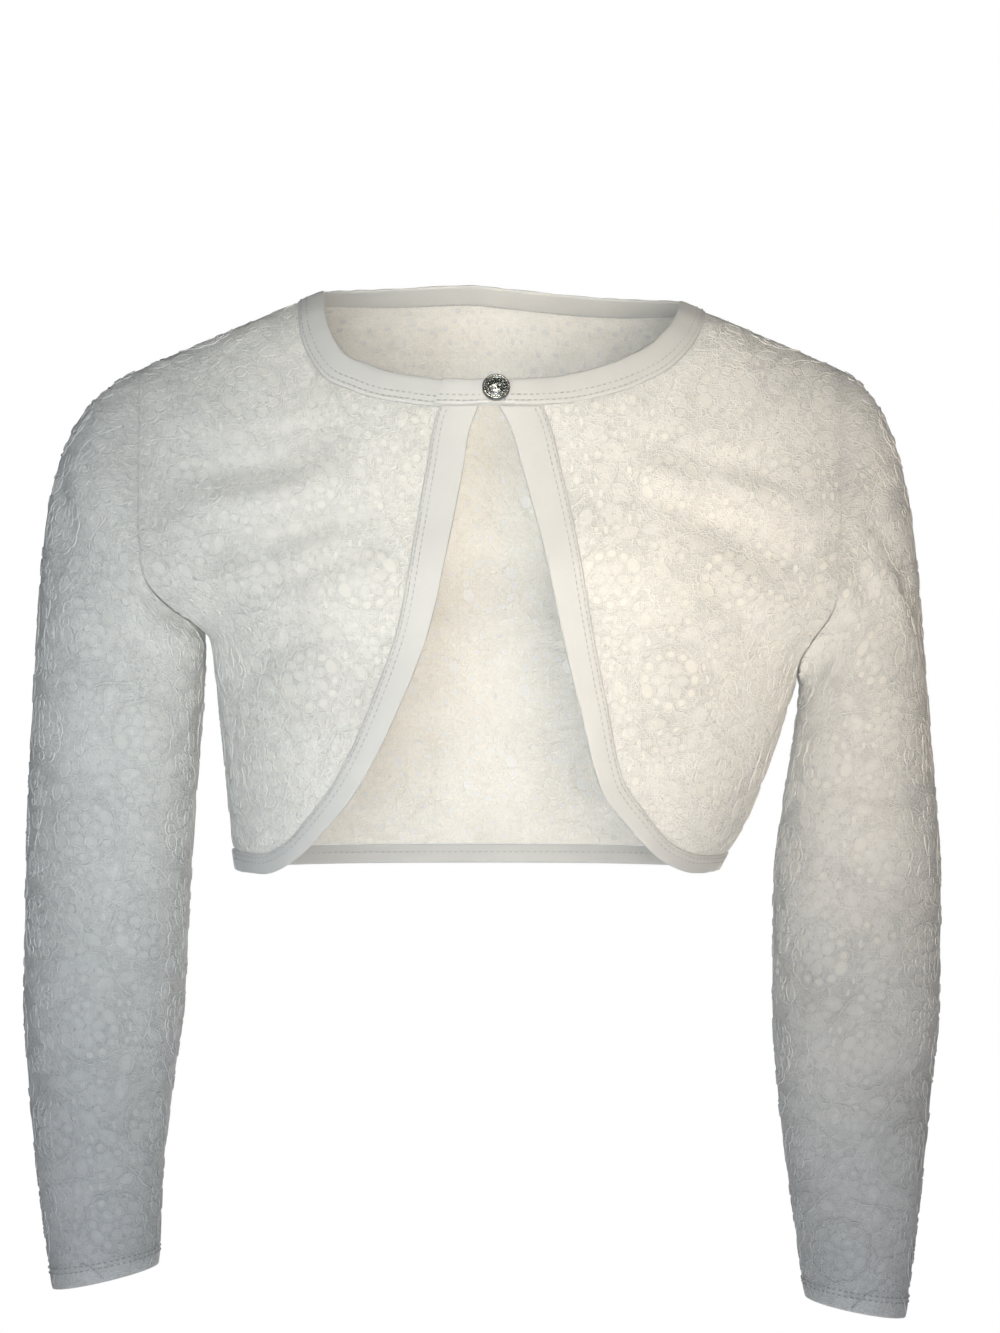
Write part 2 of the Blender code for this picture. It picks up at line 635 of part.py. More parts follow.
    def neck_crest_turn(self, side, facing):
        """Turn at which the neck seam comes to the shoulder seam."""
        drop = NECK_FRONT_DROP if facing < 0 else NECK_BACK_DROP
        squareness = NECK_FRONT_SQUARENESS if facing < 0 else NECK_BACK_SQUARENESS
        small = math.asin((SEAM_GAP / 2 / drop) ** (squareness / 2))
        return facing * small if side > 0 else facing * (math.pi - small)

    def shoulder(self, side, facing, neck_column):
        """Shoulder seam from the neck to the armhole."""
        far_column = armhole_flat(self.torso, side, facing, [0.0])[0, 0]
        columns = np.linspace(neck_column, far_column, self.SHOULDER_STATIONS)
        return self.torso.flat_from_w(columns, np.full(len(columns), SEAM_GAP / 2), facing)

    def armhole(self, side, facing):
        """Armhole seam from the crest to the underarm, kept short of the seam by half the gap."""
        shares = np.linspace(0.0, 1.0, self.ARMHOLE_STATIONS)
        flat = armhole_flat(self.torso, side, facing, shares)
        run = unit(np.gradient(flat, axis=0))
        inward = -side * np.stack((-run[:, 1], run[:, 0]), axis=1)
        inward *= np.where(inward[:, :1] * side < 0.0, 1.0, -1.0)
        flat = flat + inward * SEAM_GAP / 2
        flat[0, 1] -= SEAM_GAP / 2
        return flat

    def back(self):
        """Outline of the back: neck, shoulders, armholes, side seams and hem seam."""
        runs = []
        offset = NECK_BINDING_WIDTH + SEAM_GAP
        for side in (1, -1):
            crest_turn = self.neck_crest_turn(side, 1)
            neck = self.neck_flat(np.linspace(math.pi / 2, crest_turn, self.NECK_STATIONS), offset, 1)
            shoulder = self.shoulder(side, 1, neck[-1, 0])
            armhole = self.armhole(side, 1)
            low = self.side_point(side, 1, HEM_LEVEL, HEM_BAND_WIDTH + SEAM_GAP)
            sides = self.side_seam(side, 1, low)
            runs.append(np.concatenate((neck, shoulder[1:-1], armhole, sides, low[None])))
        columns = self.back_hem_columns()
        ups = self.torso.up_at_height(columns, HEM_LEVEL, 1) + HEM_BAND_WIDTH + SEAM_GAP
        hem = np.stack((columns, ups), axis=1)
        return np.concatenate((runs[1][:0:-1], runs[0], hem[::-1][1:-1]))

    def back_hem_columns(self):
        """Columns along the back hem from side seam to side seam."""
        ends = [self.side_point(side, 1, HEM_LEVEL)[0] for side in (-1, 1)]
        return np.linspace(ends[0], ends[1], self.HEM_STATIONS)

    def sleeve_half(self, side, facing):
        """Outline of one half of a sleeve, front halves on the side where round is more than 0."""
        sleeve = self.sleeves[side]
        shares = np.linspace(0.0, 1.0, self.ARMHOLE_STATIONS)
        half_gap = SEAM_GAP / 2
        angles = shares * 180.0
        tops = sleeve.cap_top(-facing * angles) - half_gap
        reach = angles / 180.0 * math.pi * sleeve.radii[0]
        reach = np.clip(reach, half_gap, math.pi * sleeve.radii[0] - half_gap)
        cap = np.stack((reach, tops), axis=1)
        ups = np.linspace(0.0, -sleeve.length, self.UNDER_STATIONS)
        under = np.stack((math.pi * sleeve.radius(ups) - half_gap, ups), axis=1)
        reaches = np.linspace(under[-1, 0], half_gap, self.CUFF_STATIONS)[1:-1]
        cuff = np.stack((reaches, np.full(len(reaches), -sleeve.length)), axis=1)
        outer_ups = np.linspace(-sleeve.length, sleeve.cap_top(0.0), self.OUTER_STATIONS)[:-1]
        outer = np.stack((np.full(len(outer_ups), half_gap), outer_ups), axis=1)
        outline = np.concatenate((cap, under, cuff, outer))
        outline[:, 0] *= -facing
        return outline


def inside(points, outline):
    """Whether points lie inside a closed outline."""
    x, y = points[:, 0:1], points[:, 1:2]
    x0, y0 = outline[:, 0], outline[:, 1]
    x1, y1 = np.roll(x0, -1), np.roll(y0, -1)
    spans = (y0 > y) != (y1 > y)
    rise = np.where(np.abs(y1 - y0) < 1e-9, 1e-9, y1 - y0)
    crossing = x0 + (y - y0) * (x1 - x0) / rise
    return (spans & (x < crossing)).sum(axis=1) % 2 == 1


def distance_to(points, outline):
    """Distance from points to a closed outline."""
    start = outline[None]
    run = np.roll(outline, -1, axis=0)[None] - start
    toward = points[:, None] - start
    share = np.clip(np.sum(toward * run, axis=2) / np.maximum(np.sum(run * run, axis=2), 1e-9), 0.0, 1.0)
    return np.linalg.norm(toward - run * share[..., None], axis=2).min(axis=1)


def staggered(outline, pitch, row_height):
    """Points in staggered rows that cover an outline, in step with the pattern's own zero."""
    low, high = outline.min(axis=0), outline.max(axis=0)
    points = []
    for row in range(math.floor(low[1] / row_height), math.ceil(high[1] / row_height) + 1):
        shift = 0.5 * (row % 2)
        for step in range(math.floor(low[0] / pitch) - 1, math.ceil(high[0] / pitch) + 1):
            points.append(((step + shift) * pitch, row * row_height))
    return np.array(points)


def lace_gaps(outline):
    """The largest gaps of each flower that lie wholly inside a piece, as small closed outlines."""
    gaps = []
    for centre in staggered(outline, FLOWER_PITCH, FLOWER_ROW):
        for angle in np.radians(GAP_ANGLES):
            along = np.array([math.cos(angle), math.sin(angle)])
            across = np.array([-along[1], along[0]])
            middle = centre + along * GAP_REACH
            turns = np.arange(GAP_SIDES) * 2.0 * math.pi / GAP_SIDES
            ring = (middle + np.cos(turns)[:, None] * across * GAP_LENGTH / 2
                    + np.sin(turns)[:, None] * -along * GAP_WIDTH / 2)
            if inside(ring, outline).all() and distance_to(ring, outline).min() > GAP_MARGIN:
                gaps.append(ring)
    return gaps


def fold_depth(piece, flat):
    """How deep the main folds press the cloth in at points of a flat pattern."""
    depth = np.zeros(len(flat))
    for fold in MAIN_FOLDS:
        if fold.piece != piece:
            continue
        angle = math.radians(fold.angle)
        toward = flat - [fold.across, fold.up]
        along = toward[:, 0] * math.cos(angle) + toward[:, 1] * math.sin(angle)
        beside = toward[:, 1] * math.cos(angle) - toward[:, 0] * math.sin(angle)
        low, high = FOLD_FULL_SHARE * fold.length, FOLD_END_SHARE * fold.length
        reach = 1.0 - smoothstep(np.abs(along), low, high)
        depth += fold.depth * reach * np.exp(-(beside / fold.width) ** 2)
    return depth


def normals_at(place, flat, outward):
    """Outward normals of a surface at points of its flat pattern."""
    step = 0.75
    across = place(flat + [step, 0.0]) - place(flat - [step, 0.0])
    up = place(flat + [0.0, step]) - place(flat - [0.0, step])
    return unit(np.cross(across, up)) * outward


def anticlockwise(outline):
    """An outline in anticlockwise order."""
    ahead = np.roll(outline, -1, axis=0)
    area = np.sum(outline[:, 0] * ahead[:, 1] - ahead[:, 0] * outline[:, 1])
    return outline if area > 0.0 else outline[::-1]


def triangulate(outline, gaps, spacing):
    """Triangles of a flat piece with its gaps left open: points and corners."""
    outline = anticlockwise(outline)
    gaps = [anticlockwise(gap) for gap in gaps]
    rows = spacing * math.sqrt(3.0) / 2.0
    lattice = staggered(outline, spacing, rows)
    lattice = lattice[inside(lattice, outline)]
    lattice = lattice[distance_to(lattice, outline) > EDGE_CLEARANCE * spacing]
    if gaps:
        middles = np.array([gap.mean(axis=0) for gap in gaps])
        nearest = np.linalg.norm(lattice[:, None] - middles[None], axis=2).min(axis=1)
        lattice = lattice[nearest > GAP_CLEARANCE * spacing]
    points = [Vector(point) for point in outline]
    loops = [list(range(len(points)))]
    for gap in gaps:
        loops.append(list(range(len(points), len(points) + len(gap))))
        points.extend(Vector(point) for point in gap)
    points.extend(Vector(point) for point in lattice)
    found = delaunay_2d_cdt(points, [], loops, 1, 1e-6, True)
    corners = [face for face, owners in zip(found[2], found[5]) if owners == [0]]
    return np.array([tuple(point) for point in found[0]]), corners


def thickened(outer, inner, corners):
    """A wall between two skins that share their triangles.

    Its rims are square to the true surface and not to its flat facets, so that two pieces that
    meet at a seam keep their gap through the whole wall.
    """
    count = len(outer)
    faces = [tuple(corner) for corner in corners]
    sides = {(face[k], face[(k + 1) % 3]) for face in faces for k in range(3)}
    faces += [tuple(count + i for i in reversed(corner)) for corner in corners]
    faces += [(b, a, count + a, count + b) for a, b in sorted(sides) if (b, a) not in sides]
    return np.concatenate((outer, inner)), faces


def level(flat):
    """Height of the lace over its surface."""
    return np.zeros(len(flat))


def raised(flat):
    """Height of the bands over the surface, a little proud of the lace."""
    return np.full(len(flat), BAND_RISE)


def plain_material(name, colour, roughness, metallic=0.0):
    """A plain material for one kind of piece."""
    material = bpy.data.materials.new(name)
    material.use_nodes = True
    shader = material.node_tree.nodes["Principled BSDF"]
    shader.inputs["Base Color"].default_value = (*colour, 1.0)
    shader.inputs["Roughness"].default_value = roughness
    shader.inputs["Metallic"].default_value = metallic
    return material


class Maker:
    """Makes the objects of the garment in one collection."""

    def __init__(self, pattern):
        self.pattern = pattern
        self.collection = bpy.data.collections.new("lace_bolero_shrug")
        bpy.context.scene.collection.children.link(self.collection)
        self.lace = plain_material("ivory_lace", (0.86, 0.85, 0.81), 0.75)
        self.jersey = plain_material("ivory_jersey", (0.80, 0.81, 0.80), 0.65)
        self.metal = plain_material("worn_nickel", (0.52, 0.50, 0.48), 0.3, 1.0)

    def sheet(self, name, outline, gaps, place, outward, material, wall, rise):
        """A piece of cloth: a flat outline put on its surface and thickened inward."""
        flat, corners = triangulate(outline, gaps, LACE_POINT_SPACING)
        fade = smoothstep(distance_to(flat, outline), 0.0, FOLD_FADE)
        push = rise(flat) - fold_depth(name, flat) * fade
        normals = normals_at(place, flat, outward)
        outer = place(flat) + normals * push[:, None]
        if outward < 0:
            corners = [corner[::-1] for corner in corners]
        points, faces = thickened(outer, outer - normals * wall, corners)
        mesh = bpy.data.meshes.new(name)
        mesh.from_pydata((points * METRES).tolist(), [], faces)
        mesh.materials.append(material)
        mesh.shade_smooth()
        mesh.set_sharp_from_angle(angle=SHARP_ANGLE)
        piece = bpy.data.objects.new(name, mesh)
        self.collection.objects.link(piece)
        return piece

    def lace_piece(self, name, outline, place, outward):
        """A piece of lace with its largest gaps cut through."""
        return self.sheet(name, outline, lace_gaps(outline), place, outward, self.lace, LACE_WALL, level)

    def band_piece(self, name, outline, place, outward):
        """A jersey band."""
        return self.sheet(name, outline, [], place, outward, self.jersey, BAND_WALL, raised)

    def fronts(self):
        """Both fronts and the bands down their free edges."""
        pattern = self.pattern
        place = pattern.torso.chart(-1)
        for side, name in ((-1, "right"), (1, "left")):
            self.lace_piece("front_" + name, pattern.front(side), place, 1)
            self.band_piece("band_front_" + name, self.front_band_outline(side), place, 1)

    def front_band_outline(self, side):
        """Strip along a free edge: the edge itself, the side seam, then the lace seam back up."""
        pattern = self.pattern
        inner = pattern.band_seam(side, 0.0)
        stations = pattern.edge_stations(side)
        outer = pattern.edge_offset(side, stations, np.zeros(len(stations)))
        turn = pattern.neck_turn_at(outer[0, 0], NECK_BINDING_WIDTH + SEAM_GAP, -1)
        start = pattern.neck_flat(turn, NECK_BINDING_WIDTH + SEAM_GAP, -1)
        below = outer[:, 1] < start[1] - pattern.CLEAR_OF_NECK
        outer = np.concatenate((start[None], outer[below]))
        outer[-1] = pattern.side_point(side, -1, HEM_LEVEL)
        return np.concatenate((outer, inner[::-1]))

    def back(self):
        """The back and the band along its hem."""
        pattern = self.pattern
        place = pattern.torso.chart(1)
        self.lace_piece("back", pattern.back(), place, -1)
        columns = pattern.back_hem_columns()
        hem = np.stack((columns, pattern.torso.up_at_height(columns, HEM_LEVEL, 1)), axis=1)
        top = hem + [0.0, HEM_BAND_WIDTH]
        for side, end in ((-1, 0), (1, -1)):
            top[end] = pattern.side_point(side, 1, HEM_LEVEL, HEM_BAND_WIDTH)
        self.band_piece("band_back", np.concatenate((hem, top[::-1])), place, -1)

    def sleeves(self):
        """Each sleeve as a front and a back half."""
        for side, name in ((-1, "right"), (1, "left")):
            sleeve = self.pattern.sleeves[side]
            for facing, half in ((-1, "front"), (1, "back")):
                outline = self.pattern.sleeve_half(side, facing)
                self.lace_piece(f"sleeve_{name}_{half}", outline, sleeve.place, -side)

    def neck_binding(self):
        """Strip round the neck from its lapped end over the button to its end under the lap."""
        strip = NeckStrip(self.pattern)
        outline = strip.outline()
        slot = strip.buttonhole()
        self.sheet("neck_binding", outline, [slot], strip.place, -1, self.jersey, BAND_WALL, strip.lift)
        self.button(strip)

    def button(self, strip):
        """Shank button: a turned face with a raised rim, its shank through the buttonhole."""
        flat = np.array([strip.button_flat])
        seat = strip.place(flat)[0]
        normal = normals_at(strip.place, flat, -1)[0]
        lift = strip.lift(flat)[0]
        back = seat + normal * (lift + BUTTON_CLEARANCE)
        shank = BUTTON_CLEARANCE + BAND_WALL
        profile = BUTTON_PROFILE + ((SHANK_RADIUS, -shank), (0.0, -shank))
        mesh = bpy.data.meshes.new("button")
        points = [(radius * METRES, 0.0, height * METRES) for radius, height in profile]
        mesh.from_pydata(points, [(i, i + 1) for i in range(len(points) - 1)], [])
        mesh.materials.append(self.metal)
        piece = bpy.data.objects.new("button", mesh)
        self.collection.objects.link(piece)
        turning = piece.modifiers.new("turned", "SCREW")
        turning.steps = BUTTON_STEPS
        turning.render_steps = BUTTON_STEPS
        turning.use_merge_vertices = True
        turning.merge_threshold = BUTTON_MERGE_DISTANCE
        piece.location = back * METRES
        facing = Vector(normal).to_track_quat("Z", "Y")
        piece.rotation_euler = facing.to_euler()
        return piece


class NeckStrip:
    """The neck binding unrolled: distance along it from the lapped end, and distance out from the neck."""

    STATIONS = 84
    SAMPLES = 1200
    FRONT_REACH = 60.0
    CLEARANCE = 2.0

    def __init__(self, pattern):
        self.pattern = pattern
        quarter = math.pi / 2
        start = -quarter - self._turn_past_centre(NECK_CENTRE - NECK_LAP_END)
        end = 3 * quarter + self._turn_past_centre(NECK_UNDERLAP_END - NECK_CENTRE)
        self.turns = np.linspace(start, end, self.SAMPLES)
        line = self.pattern.neck_line(self.turns, np.full(self.SAMPLES, NECK_BINDING_WIDTH / 2))
        points = pattern.torso.at(line[:, 0], line[:, 1])
        self.along = lengths_along(points)
        front = self.along < self.FRONT_REACH
        self.underlap_end = float(np.interp(NECK_UNDERLAP_END, points[front, 0], self.along[front]))
        button_along = float(np.interp(BUTTON_X, points[front, 0], self.along[front]))
        self.button_flat = (button_along, BUTTON_OUT)

    @staticmethod
    def _turn_past_centre(distance):
        """Turn round the neckline that lies at a distance past its middle in front."""
        return math.asin((distance / NECK_HALF_WIDTH) ** (NECK_FRONT_SQUARENESS / 2))

    def place(self, flat):
        """Points of the unrolled strip put on the surface."""
        turn = np.interp(flat[..., 0], self.along, self.turns)
        line = self.pattern.neck_line(turn, flat[..., 1])
        return self.pattern.torso.at(line[..., 0], line[..., 1])

    def lift(self, flat):
        """Height over the torso surface: the lap rises over the other end of the strip."""
        clear = self.underlap_end + self.CLEARANCE
        lapped = 1.0 - smoothstep(flat[:, 0], clear, clear + NECK_LAP_EASE)
        return BAND_RISE + (BAND_WALL + SEAM_GAP) * lapped

    def outline(self):
        """Outline of the unrolled strip."""
        stations = np.linspace(0.0, self.along[-1], self.STATIONS)
        outer = np.stack((stations, np.full(self.STATIONS, NECK_BINDING_WIDTH)), axis=1)
        inner = np.stack((stations, np.zeros(self.STATIONS)), axis=1)
        return np.concatenate((inner, outer[::-1]))

    def buttonhole(self):
        """Hole in the lapped end, under the button."""
        turns = np.arange(BUTTONHOLE_SIDES) * 2.0 * math.pi / BUTTONHOLE_SIDES
        return np.array(self.button_flat) + np.stack((np.cos(turns) * BUTTONHOLE_LENGTH / 2,
                                                      np.sin(turns) * BUTTONHOLE_WIDTH / 2), axis=1)


def clear_scene():
    """Remove every object that Blender starts with."""
    for item in list(bpy.data.objects):
        bpy.data.objects.remove(item, do_unlink=True)


def main():
    """Make every piece of the garment."""
    clear_scene()
    maker = Maker(Pattern())
    maker.fronts()
    maker.back()
    maker.sleeves()
    maker.neck_binding()


if __name__ == "__main__":
    main()
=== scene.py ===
"""Looks of a child's lace bolero shrug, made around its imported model.

The garment is shown as it is worn. Every lace piece is drawn as a flat pattern with its flowers,
vines and sheer eyelets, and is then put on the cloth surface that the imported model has.
Lengths are in millimetres and become metres when a mesh is made. +X is the wearer's left, -Y is
the front and +Z is up.
"""

from __future__ import annotations

import logging
import math
from collections.abc import Callable
from dataclasses import dataclass, field
from enum import Enum
from functools import partial
from typing import NamedTuple

import bpy
import numpy as np
from mathutils import Matrix, Vector
from mathutils.geometry import delaunay_2d_cdt
from mathutils.kdtree import KDTree

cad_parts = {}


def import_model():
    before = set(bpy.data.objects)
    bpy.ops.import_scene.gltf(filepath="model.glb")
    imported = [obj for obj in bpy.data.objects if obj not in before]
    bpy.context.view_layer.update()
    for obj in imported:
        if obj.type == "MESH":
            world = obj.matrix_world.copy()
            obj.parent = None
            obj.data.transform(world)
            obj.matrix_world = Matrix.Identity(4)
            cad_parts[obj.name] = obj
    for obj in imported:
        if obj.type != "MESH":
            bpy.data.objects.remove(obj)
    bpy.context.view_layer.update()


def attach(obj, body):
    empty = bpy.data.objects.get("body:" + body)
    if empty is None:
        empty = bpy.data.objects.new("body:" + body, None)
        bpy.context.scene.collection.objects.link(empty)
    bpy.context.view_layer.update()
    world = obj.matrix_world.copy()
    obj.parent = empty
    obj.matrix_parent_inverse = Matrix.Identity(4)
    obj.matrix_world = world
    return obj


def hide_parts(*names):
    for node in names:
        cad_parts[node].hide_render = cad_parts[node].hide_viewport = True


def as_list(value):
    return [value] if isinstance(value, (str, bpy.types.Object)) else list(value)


LOG = logging.getLogger("lace_bolero")
METRES = 0.001
UV_STEP = 100.0
SEAM_GAP = 0.06
Points = np.ndarray
Chart = Callable[[Points], Points]
Faces = list[tuple[int, ...]]
Triple = tuple[float, float, float]
Piece = bpy.types.Object
Material = bpy.types.Material
Socket = bpy.types.NodeSocket
Tree = bpy.types.NodeTree


class Kind(Enum):
    """What a part of the lace is made of, by the number of its material."""

    GROUND = 0
    NET = 1
    PETAL = 2
    # Inner skin of the lace, painted brighter as painted light for the lit inside seen through the eyelets
    INSIDE = 3


class Section(NamedTuple):
    """Half widths and depths of the torso at a height."""

    z: float
    reach_right: float
    reach_left: float
    depth_front: float
    depth_back: float
    squareness: float


class EdgeRow(NamedTuple):
    """Place of a front's free edge in front view, and the width of its band."""

    x: float
    z: float
    band: float


class ArmholeRow(NamedTuple):
    """Share of the way down an armhole, and the column of the torso there."""

    down: float
    front_column: float
    back_column: float


class SleeveRing(NamedTuple):
    """Outer and inner line of a sleeve in front view, and its depths."""

    outer_x: float
    outer_z: float
    inner_x: float
    inner_z: float
    depth_front: float
    depth_back: float


class Fold(NamedTuple):
    """A soft trough in the cloth, or a ridge where its depth is less than 0."""

    across: float
    up: float
    angle: float
    length: float
    width: float
    depth: float


TORSO_SECTIONS = (
    Section(-300, 110, 92, 76, 72, 2.40),
    Section(-262, 116, 104, 78, 74, 2.45),
    Section(-240, 119, 117, 79, 76, 2.50),
    Section(-218, 121, 126, 80, 78, 2.50),
    Section(-198, 123, 133, 81, 79, 2.50),
    Section(-178, 125, 139.5, 81, 80, 2.50),
    Section(-170, 126, 142, 81, 80, 2.50),
    Section(-156, 128, 154, 81, 80, 2.45),
    Section(-140, 156, 184, 81, 80, 2.30),
    Section(-122, 198, 207, 81, 80, 2.15),
    Section(-100, 214, 214, 80, 80, 2.05),
    Section(60, 214, 214, 80, 80, 2.05),
)
FRONT_EDGES = {
    -1: (
        EdgeRow(-5.0, -52.5, 16.0),
        EdgeRow(-8.6, -62.0, 16.5),
        EdgeRow(-11.8, -81.4, 16.5),
        EdgeRow(-18.8, -117.0, 15.5),
        EdgeRow(-26.8, -152.5, 14.0),
        EdgeRow(-40.6, -188.0, 12.5),
        EdgeRow(-58.9, -223.4, 11.0),
        EdgeRow(-73.3, -241.4, 10.0),
        EdgeRow(-88.5, -256.0, 9.0),
        EdgeRow(-100.5, -262.0, 9.0),
    ),
    1: (
        EdgeRow(4.2, -52.5, 17.0),
        EdgeRow(9.2, -62.0, 17.5),
        EdgeRow(14.8, -81.4, 17.0),
        EdgeRow(24.1, -117.0, 15.5),
        EdgeRow(31.6, -152.5, 14.0),
        EdgeRow(40.0, -188.0, 12.5),
        EdgeRow(49.4, -223.3, 11.0),
        EdgeRow(62.8, -241.2, 10.0),
        EdgeRow(77.0, -255.5, 9.0),
        EdgeRow(90.0, -261.5, 9.0),
    ),
}
ARMHOLE = (
    ArmholeRow(0.00, 164.0, 164.0),
    ArmholeRow(0.20, 163.0, 163.5),
    ArmholeRow(0.45, 162.0, 163.0),
    ArmholeRow(0.70, 161.5, 162.5),
    ArmholeRow(0.88, 161.5, 162.5),
)
UNDERARM_LEVEL = {-1: -153.0, 1: -172.0}
SLEEVES = {
    -1: (
        SleeveRing(207.5, -146, 130.6, -160, 46, 44),
        SleeveRing(209.5, -178, 131.5, -182, 45, 43),
        SleeveRing(211.5, -216, 134.5, -217, 43, 41),
        SleeveRing(213.0, -262, 137.5, -262, 41, 39),
        SleeveRing(214.0, -320, 140.5, -320, 38, 37),
        SleeveRing(211.5, -365, 146.0, -363, 35, 34),
        SleeveRing(207.5, -405, 150.5, -401, 31, 31),
        SleeveRing(201.0, -454, 152.5, -443, 27, 27),
    ),
    1: (
        SleeveRing(198.5, -152, 142.8, -178, 46, 44),
        SleeveRing(201.5, -190, 140.5, -197, 45, 43),
        SleeveRing(204.5, -226, 135.5, -228, 43, 41),
        SleeveRing(207.0, -270, 130.5, -270, 41, 39),
        SleeveRing(206.5, -320, 130.0, -320, 38, 37),
        SleeveRing(202.5, -365, 132.5, -365, 35, 34),
        SleeveRing(198.5, -405, 137.0, -402, 31, 31),
        SleeveRing(191.0, -467, 145.0, -458, 27, 27),
    ),
}
SLEEVE_SQUARENESS = 2.1
CAP_FULLNESS = {-1: 1.12, 1: 0.84}
CREST_HEIGHT, CREST_SLOPE, CREST_EASE = 38.0, 0.43, 20.0
FRONT_FALL, FRONT_ROUND = 150.0, 1.40
BACK_FALL, BACK_ROUND = 75.0, 1.90
NECK_CENTRE, NECK_HALF_WIDTH = 5.5, 82.0
NECK_DROP = {-1: 86.5, 1: 57.0}
NECK_SQUARENESS = {-1: 2.15, 1: 1.5}
NECK_SAG = ((-180, 0.0), (-165, 12.0), (-150, 11.9), (-135, 8.2), (-120, 8.0), (-105, 10.8), (-97, 12.0),
            (-90, 11.2), (-75, 4.7), (-60, -0.9), (-45, -3.6), (-30, -3.4), (-15, -1.2), (0, 0.0))
NECK_BINDING_WIDTH = 12.0
HEM_LEVEL = -262.0
HEM_BAND_WIDTH = 9.0
BAND_RISE = 0.4
BAND_WALL = 2.0

# Folds of the fronts and the back that are over 1.5 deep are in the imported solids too
FOLDS = {
    "front_right": (
        Fold(-112, 54, 8, 90, 9, 2.4),
        Fold(-96, 20, 16, 120, 11, 2.6),
        Fold(-118, -8, 30, 70, 10, 2.2),
        Fold(-106, 68, 5, 110, 6, 1.3),
        Fold(-104, 37, 11, 95, 7, -1.3),
        Fold(-76, 6, 20, 80, 6, 1.2),
        Fold(-104, -34, 42, 66, 8, 1.3),
        Fold(-66, -60, 58, 80, 9, 1.0),
    ),
    "front_left": (
        Fold(118, 18, -34, 80, 11, 2.4),
        Fold(104, 56, -14, 90, 10, 2.0),
        Fold(82, 34, -22, 70, 7, 1.1),
        Fold(112, -12, -48, 76, 9, 1.4),
        Fold(128, 40, -24, 60, 7, -1.1),
        Fold(70, -50, -66, 90, 10, 1.0),
    ),
    "back": (
        Fold(-100, 20, 24, 110, 13, 2.4),
        Fold(104, 14, -22, 110, 13, 2.4),
        Fold(6, 66, 3, 120, 12, 1.8),
        Fold(-60, -36, 34, 90, 11, 1.3),
        Fold(62, -44, -30, 100, 12, 1.4),
        Fold(-20, 30, 12, 90, 10, -1.0),
    ),
    "sleeve_right_front": (
        Fold(22, 52, 118, 70, 7, 1.7),
        Fold(44, 30, 124, 84, 8, 1.9),
        Fold(66, 10, 132, 70, 7, 1.5),
        Fold(54, -64, 168, 80, 9, 1.1),
        Fold(40, -150, 12, 70, 9, 1.0),
        Fold(36, -214, 164, 60, 8, 1.1),
    ),
    "sleeve_right_back": (
        Fold(-50, 28, 60, 80, 8, 1.7),
        Fold(-46, -96, 14, 80, 9, 1.3),
        Fold(-40, -130, 170, 70, 8, 1.2),
    ),
    "sleeve_left_front": (
        Fold(60, 30, 60, 80, 8, 1.8),
        Fold(40, 44, 66, 90, 7, 1.6),
        Fold(22, 14, 72, 70, 8, 1.2),
        Fold(58, -60, 16, 80, 9, 1.2),
        Fold(44, -110, 160, 80, 9, 1.1),
        Fold(34, -190, 14, 60, 8, 1.0),
    ),
    "sleeve_left_back": (
        Fold(-48, 30, 120, 80, 8, 1.7),
        Fold(-44, -84, 166, 80, 9, 1.3),
        Fold(-42, -126, 12, 70, 8, 1.2),
    ),
}
FOLD_STRENGTH = 1.5
FOLD_FULL_SHARE, FOLD_END_SHARE = 0.2, 0.55

# Large numbers that scatter a place's chance evenly
CHANCE_MIX = (12.9898, 78.233, 37.719)
CHANCE_SPREAD = 43758.5453


def spline(x: Points | float, xs: Points, ys: Points) -> Points:
    """Read a smooth curve through the rows of a table, level beyond its ends.

    Args:
        x: Where to read it.
        xs: The rows' places, rising.
        ys: The rows' values.

    Returns:
        The values at x.
    """
    xs = np.asarray(xs, dtype=float)
    ys = np.asarray(ys, dtype=float)
    rises = np.diff(ys) / np.diff(xs)
    before, after = rises[:-1], rises[1:]
    turning = before * after <= 0.0
    shared = np.where(turning, 0.0, 2.0 * before * after / np.where(turning, 1.0, before + after))
    slopes = np.concatenate((rises[:1], shared, rises[-1:]))
    row = np.clip(np.searchsorted(xs, x) - 1, 0, len(xs) - 2)
    step = xs[row + 1] - xs[row]
    t = np.clip((x - xs[row]) / step, 0.0, 1.0)
    rise = (2 * t - 3) * t * t
    between = (1 + rise) * ys[row] - rise * ys[row + 1]
    return between + step * (((t - 2) * t + 1) * t * slopes[row] + (t - 1) * t * t * slopes[row + 1])


def smoothstep(x: Points, low: float, high: float) -> Points:
    """Return a smooth share from 0 at low to 1 at high."""
    t = np.clip((x - low) / (high - low), 0.0, 1.0)
    return t * t * (3.0 - 2.0 * t)


def unit(vectors: Points) -> Points:
    """Return the vectors at length 1."""
    return vectors / np.maximum(np.linalg.norm(vectors, axis=-1, keepdims=True), 1e-9)


def lengths_along(points: Points) -> Points:
    """Return each point's distance along the run, from its first point."""
    steps = np.linalg.norm(np.diff(points, axis=0), axis=1)
    return np.concatenate(([0.0], np.cumsum(steps)))


def read_rows(at: Points | float, places: Points, rows: Points) -> Points:
    """Read a table of rows between its rows.

    Args:
        at: Where to read it.
        places: The rows' places, rising.
        rows: The rows, each with one value to a column.

    Returns:
        A row of values for each place that is asked for.
    """
    return np.stack([np.interp(at, places, column) for column in rows.T], axis=-1)


def polar(angle: float | Points, reach: float | Points) -> Points:
    """Return the point or points at an angle and a distance from zero."""
    return np.stack((np.cos(angle) * reach, np.sin(angle) * reach), axis=-1)


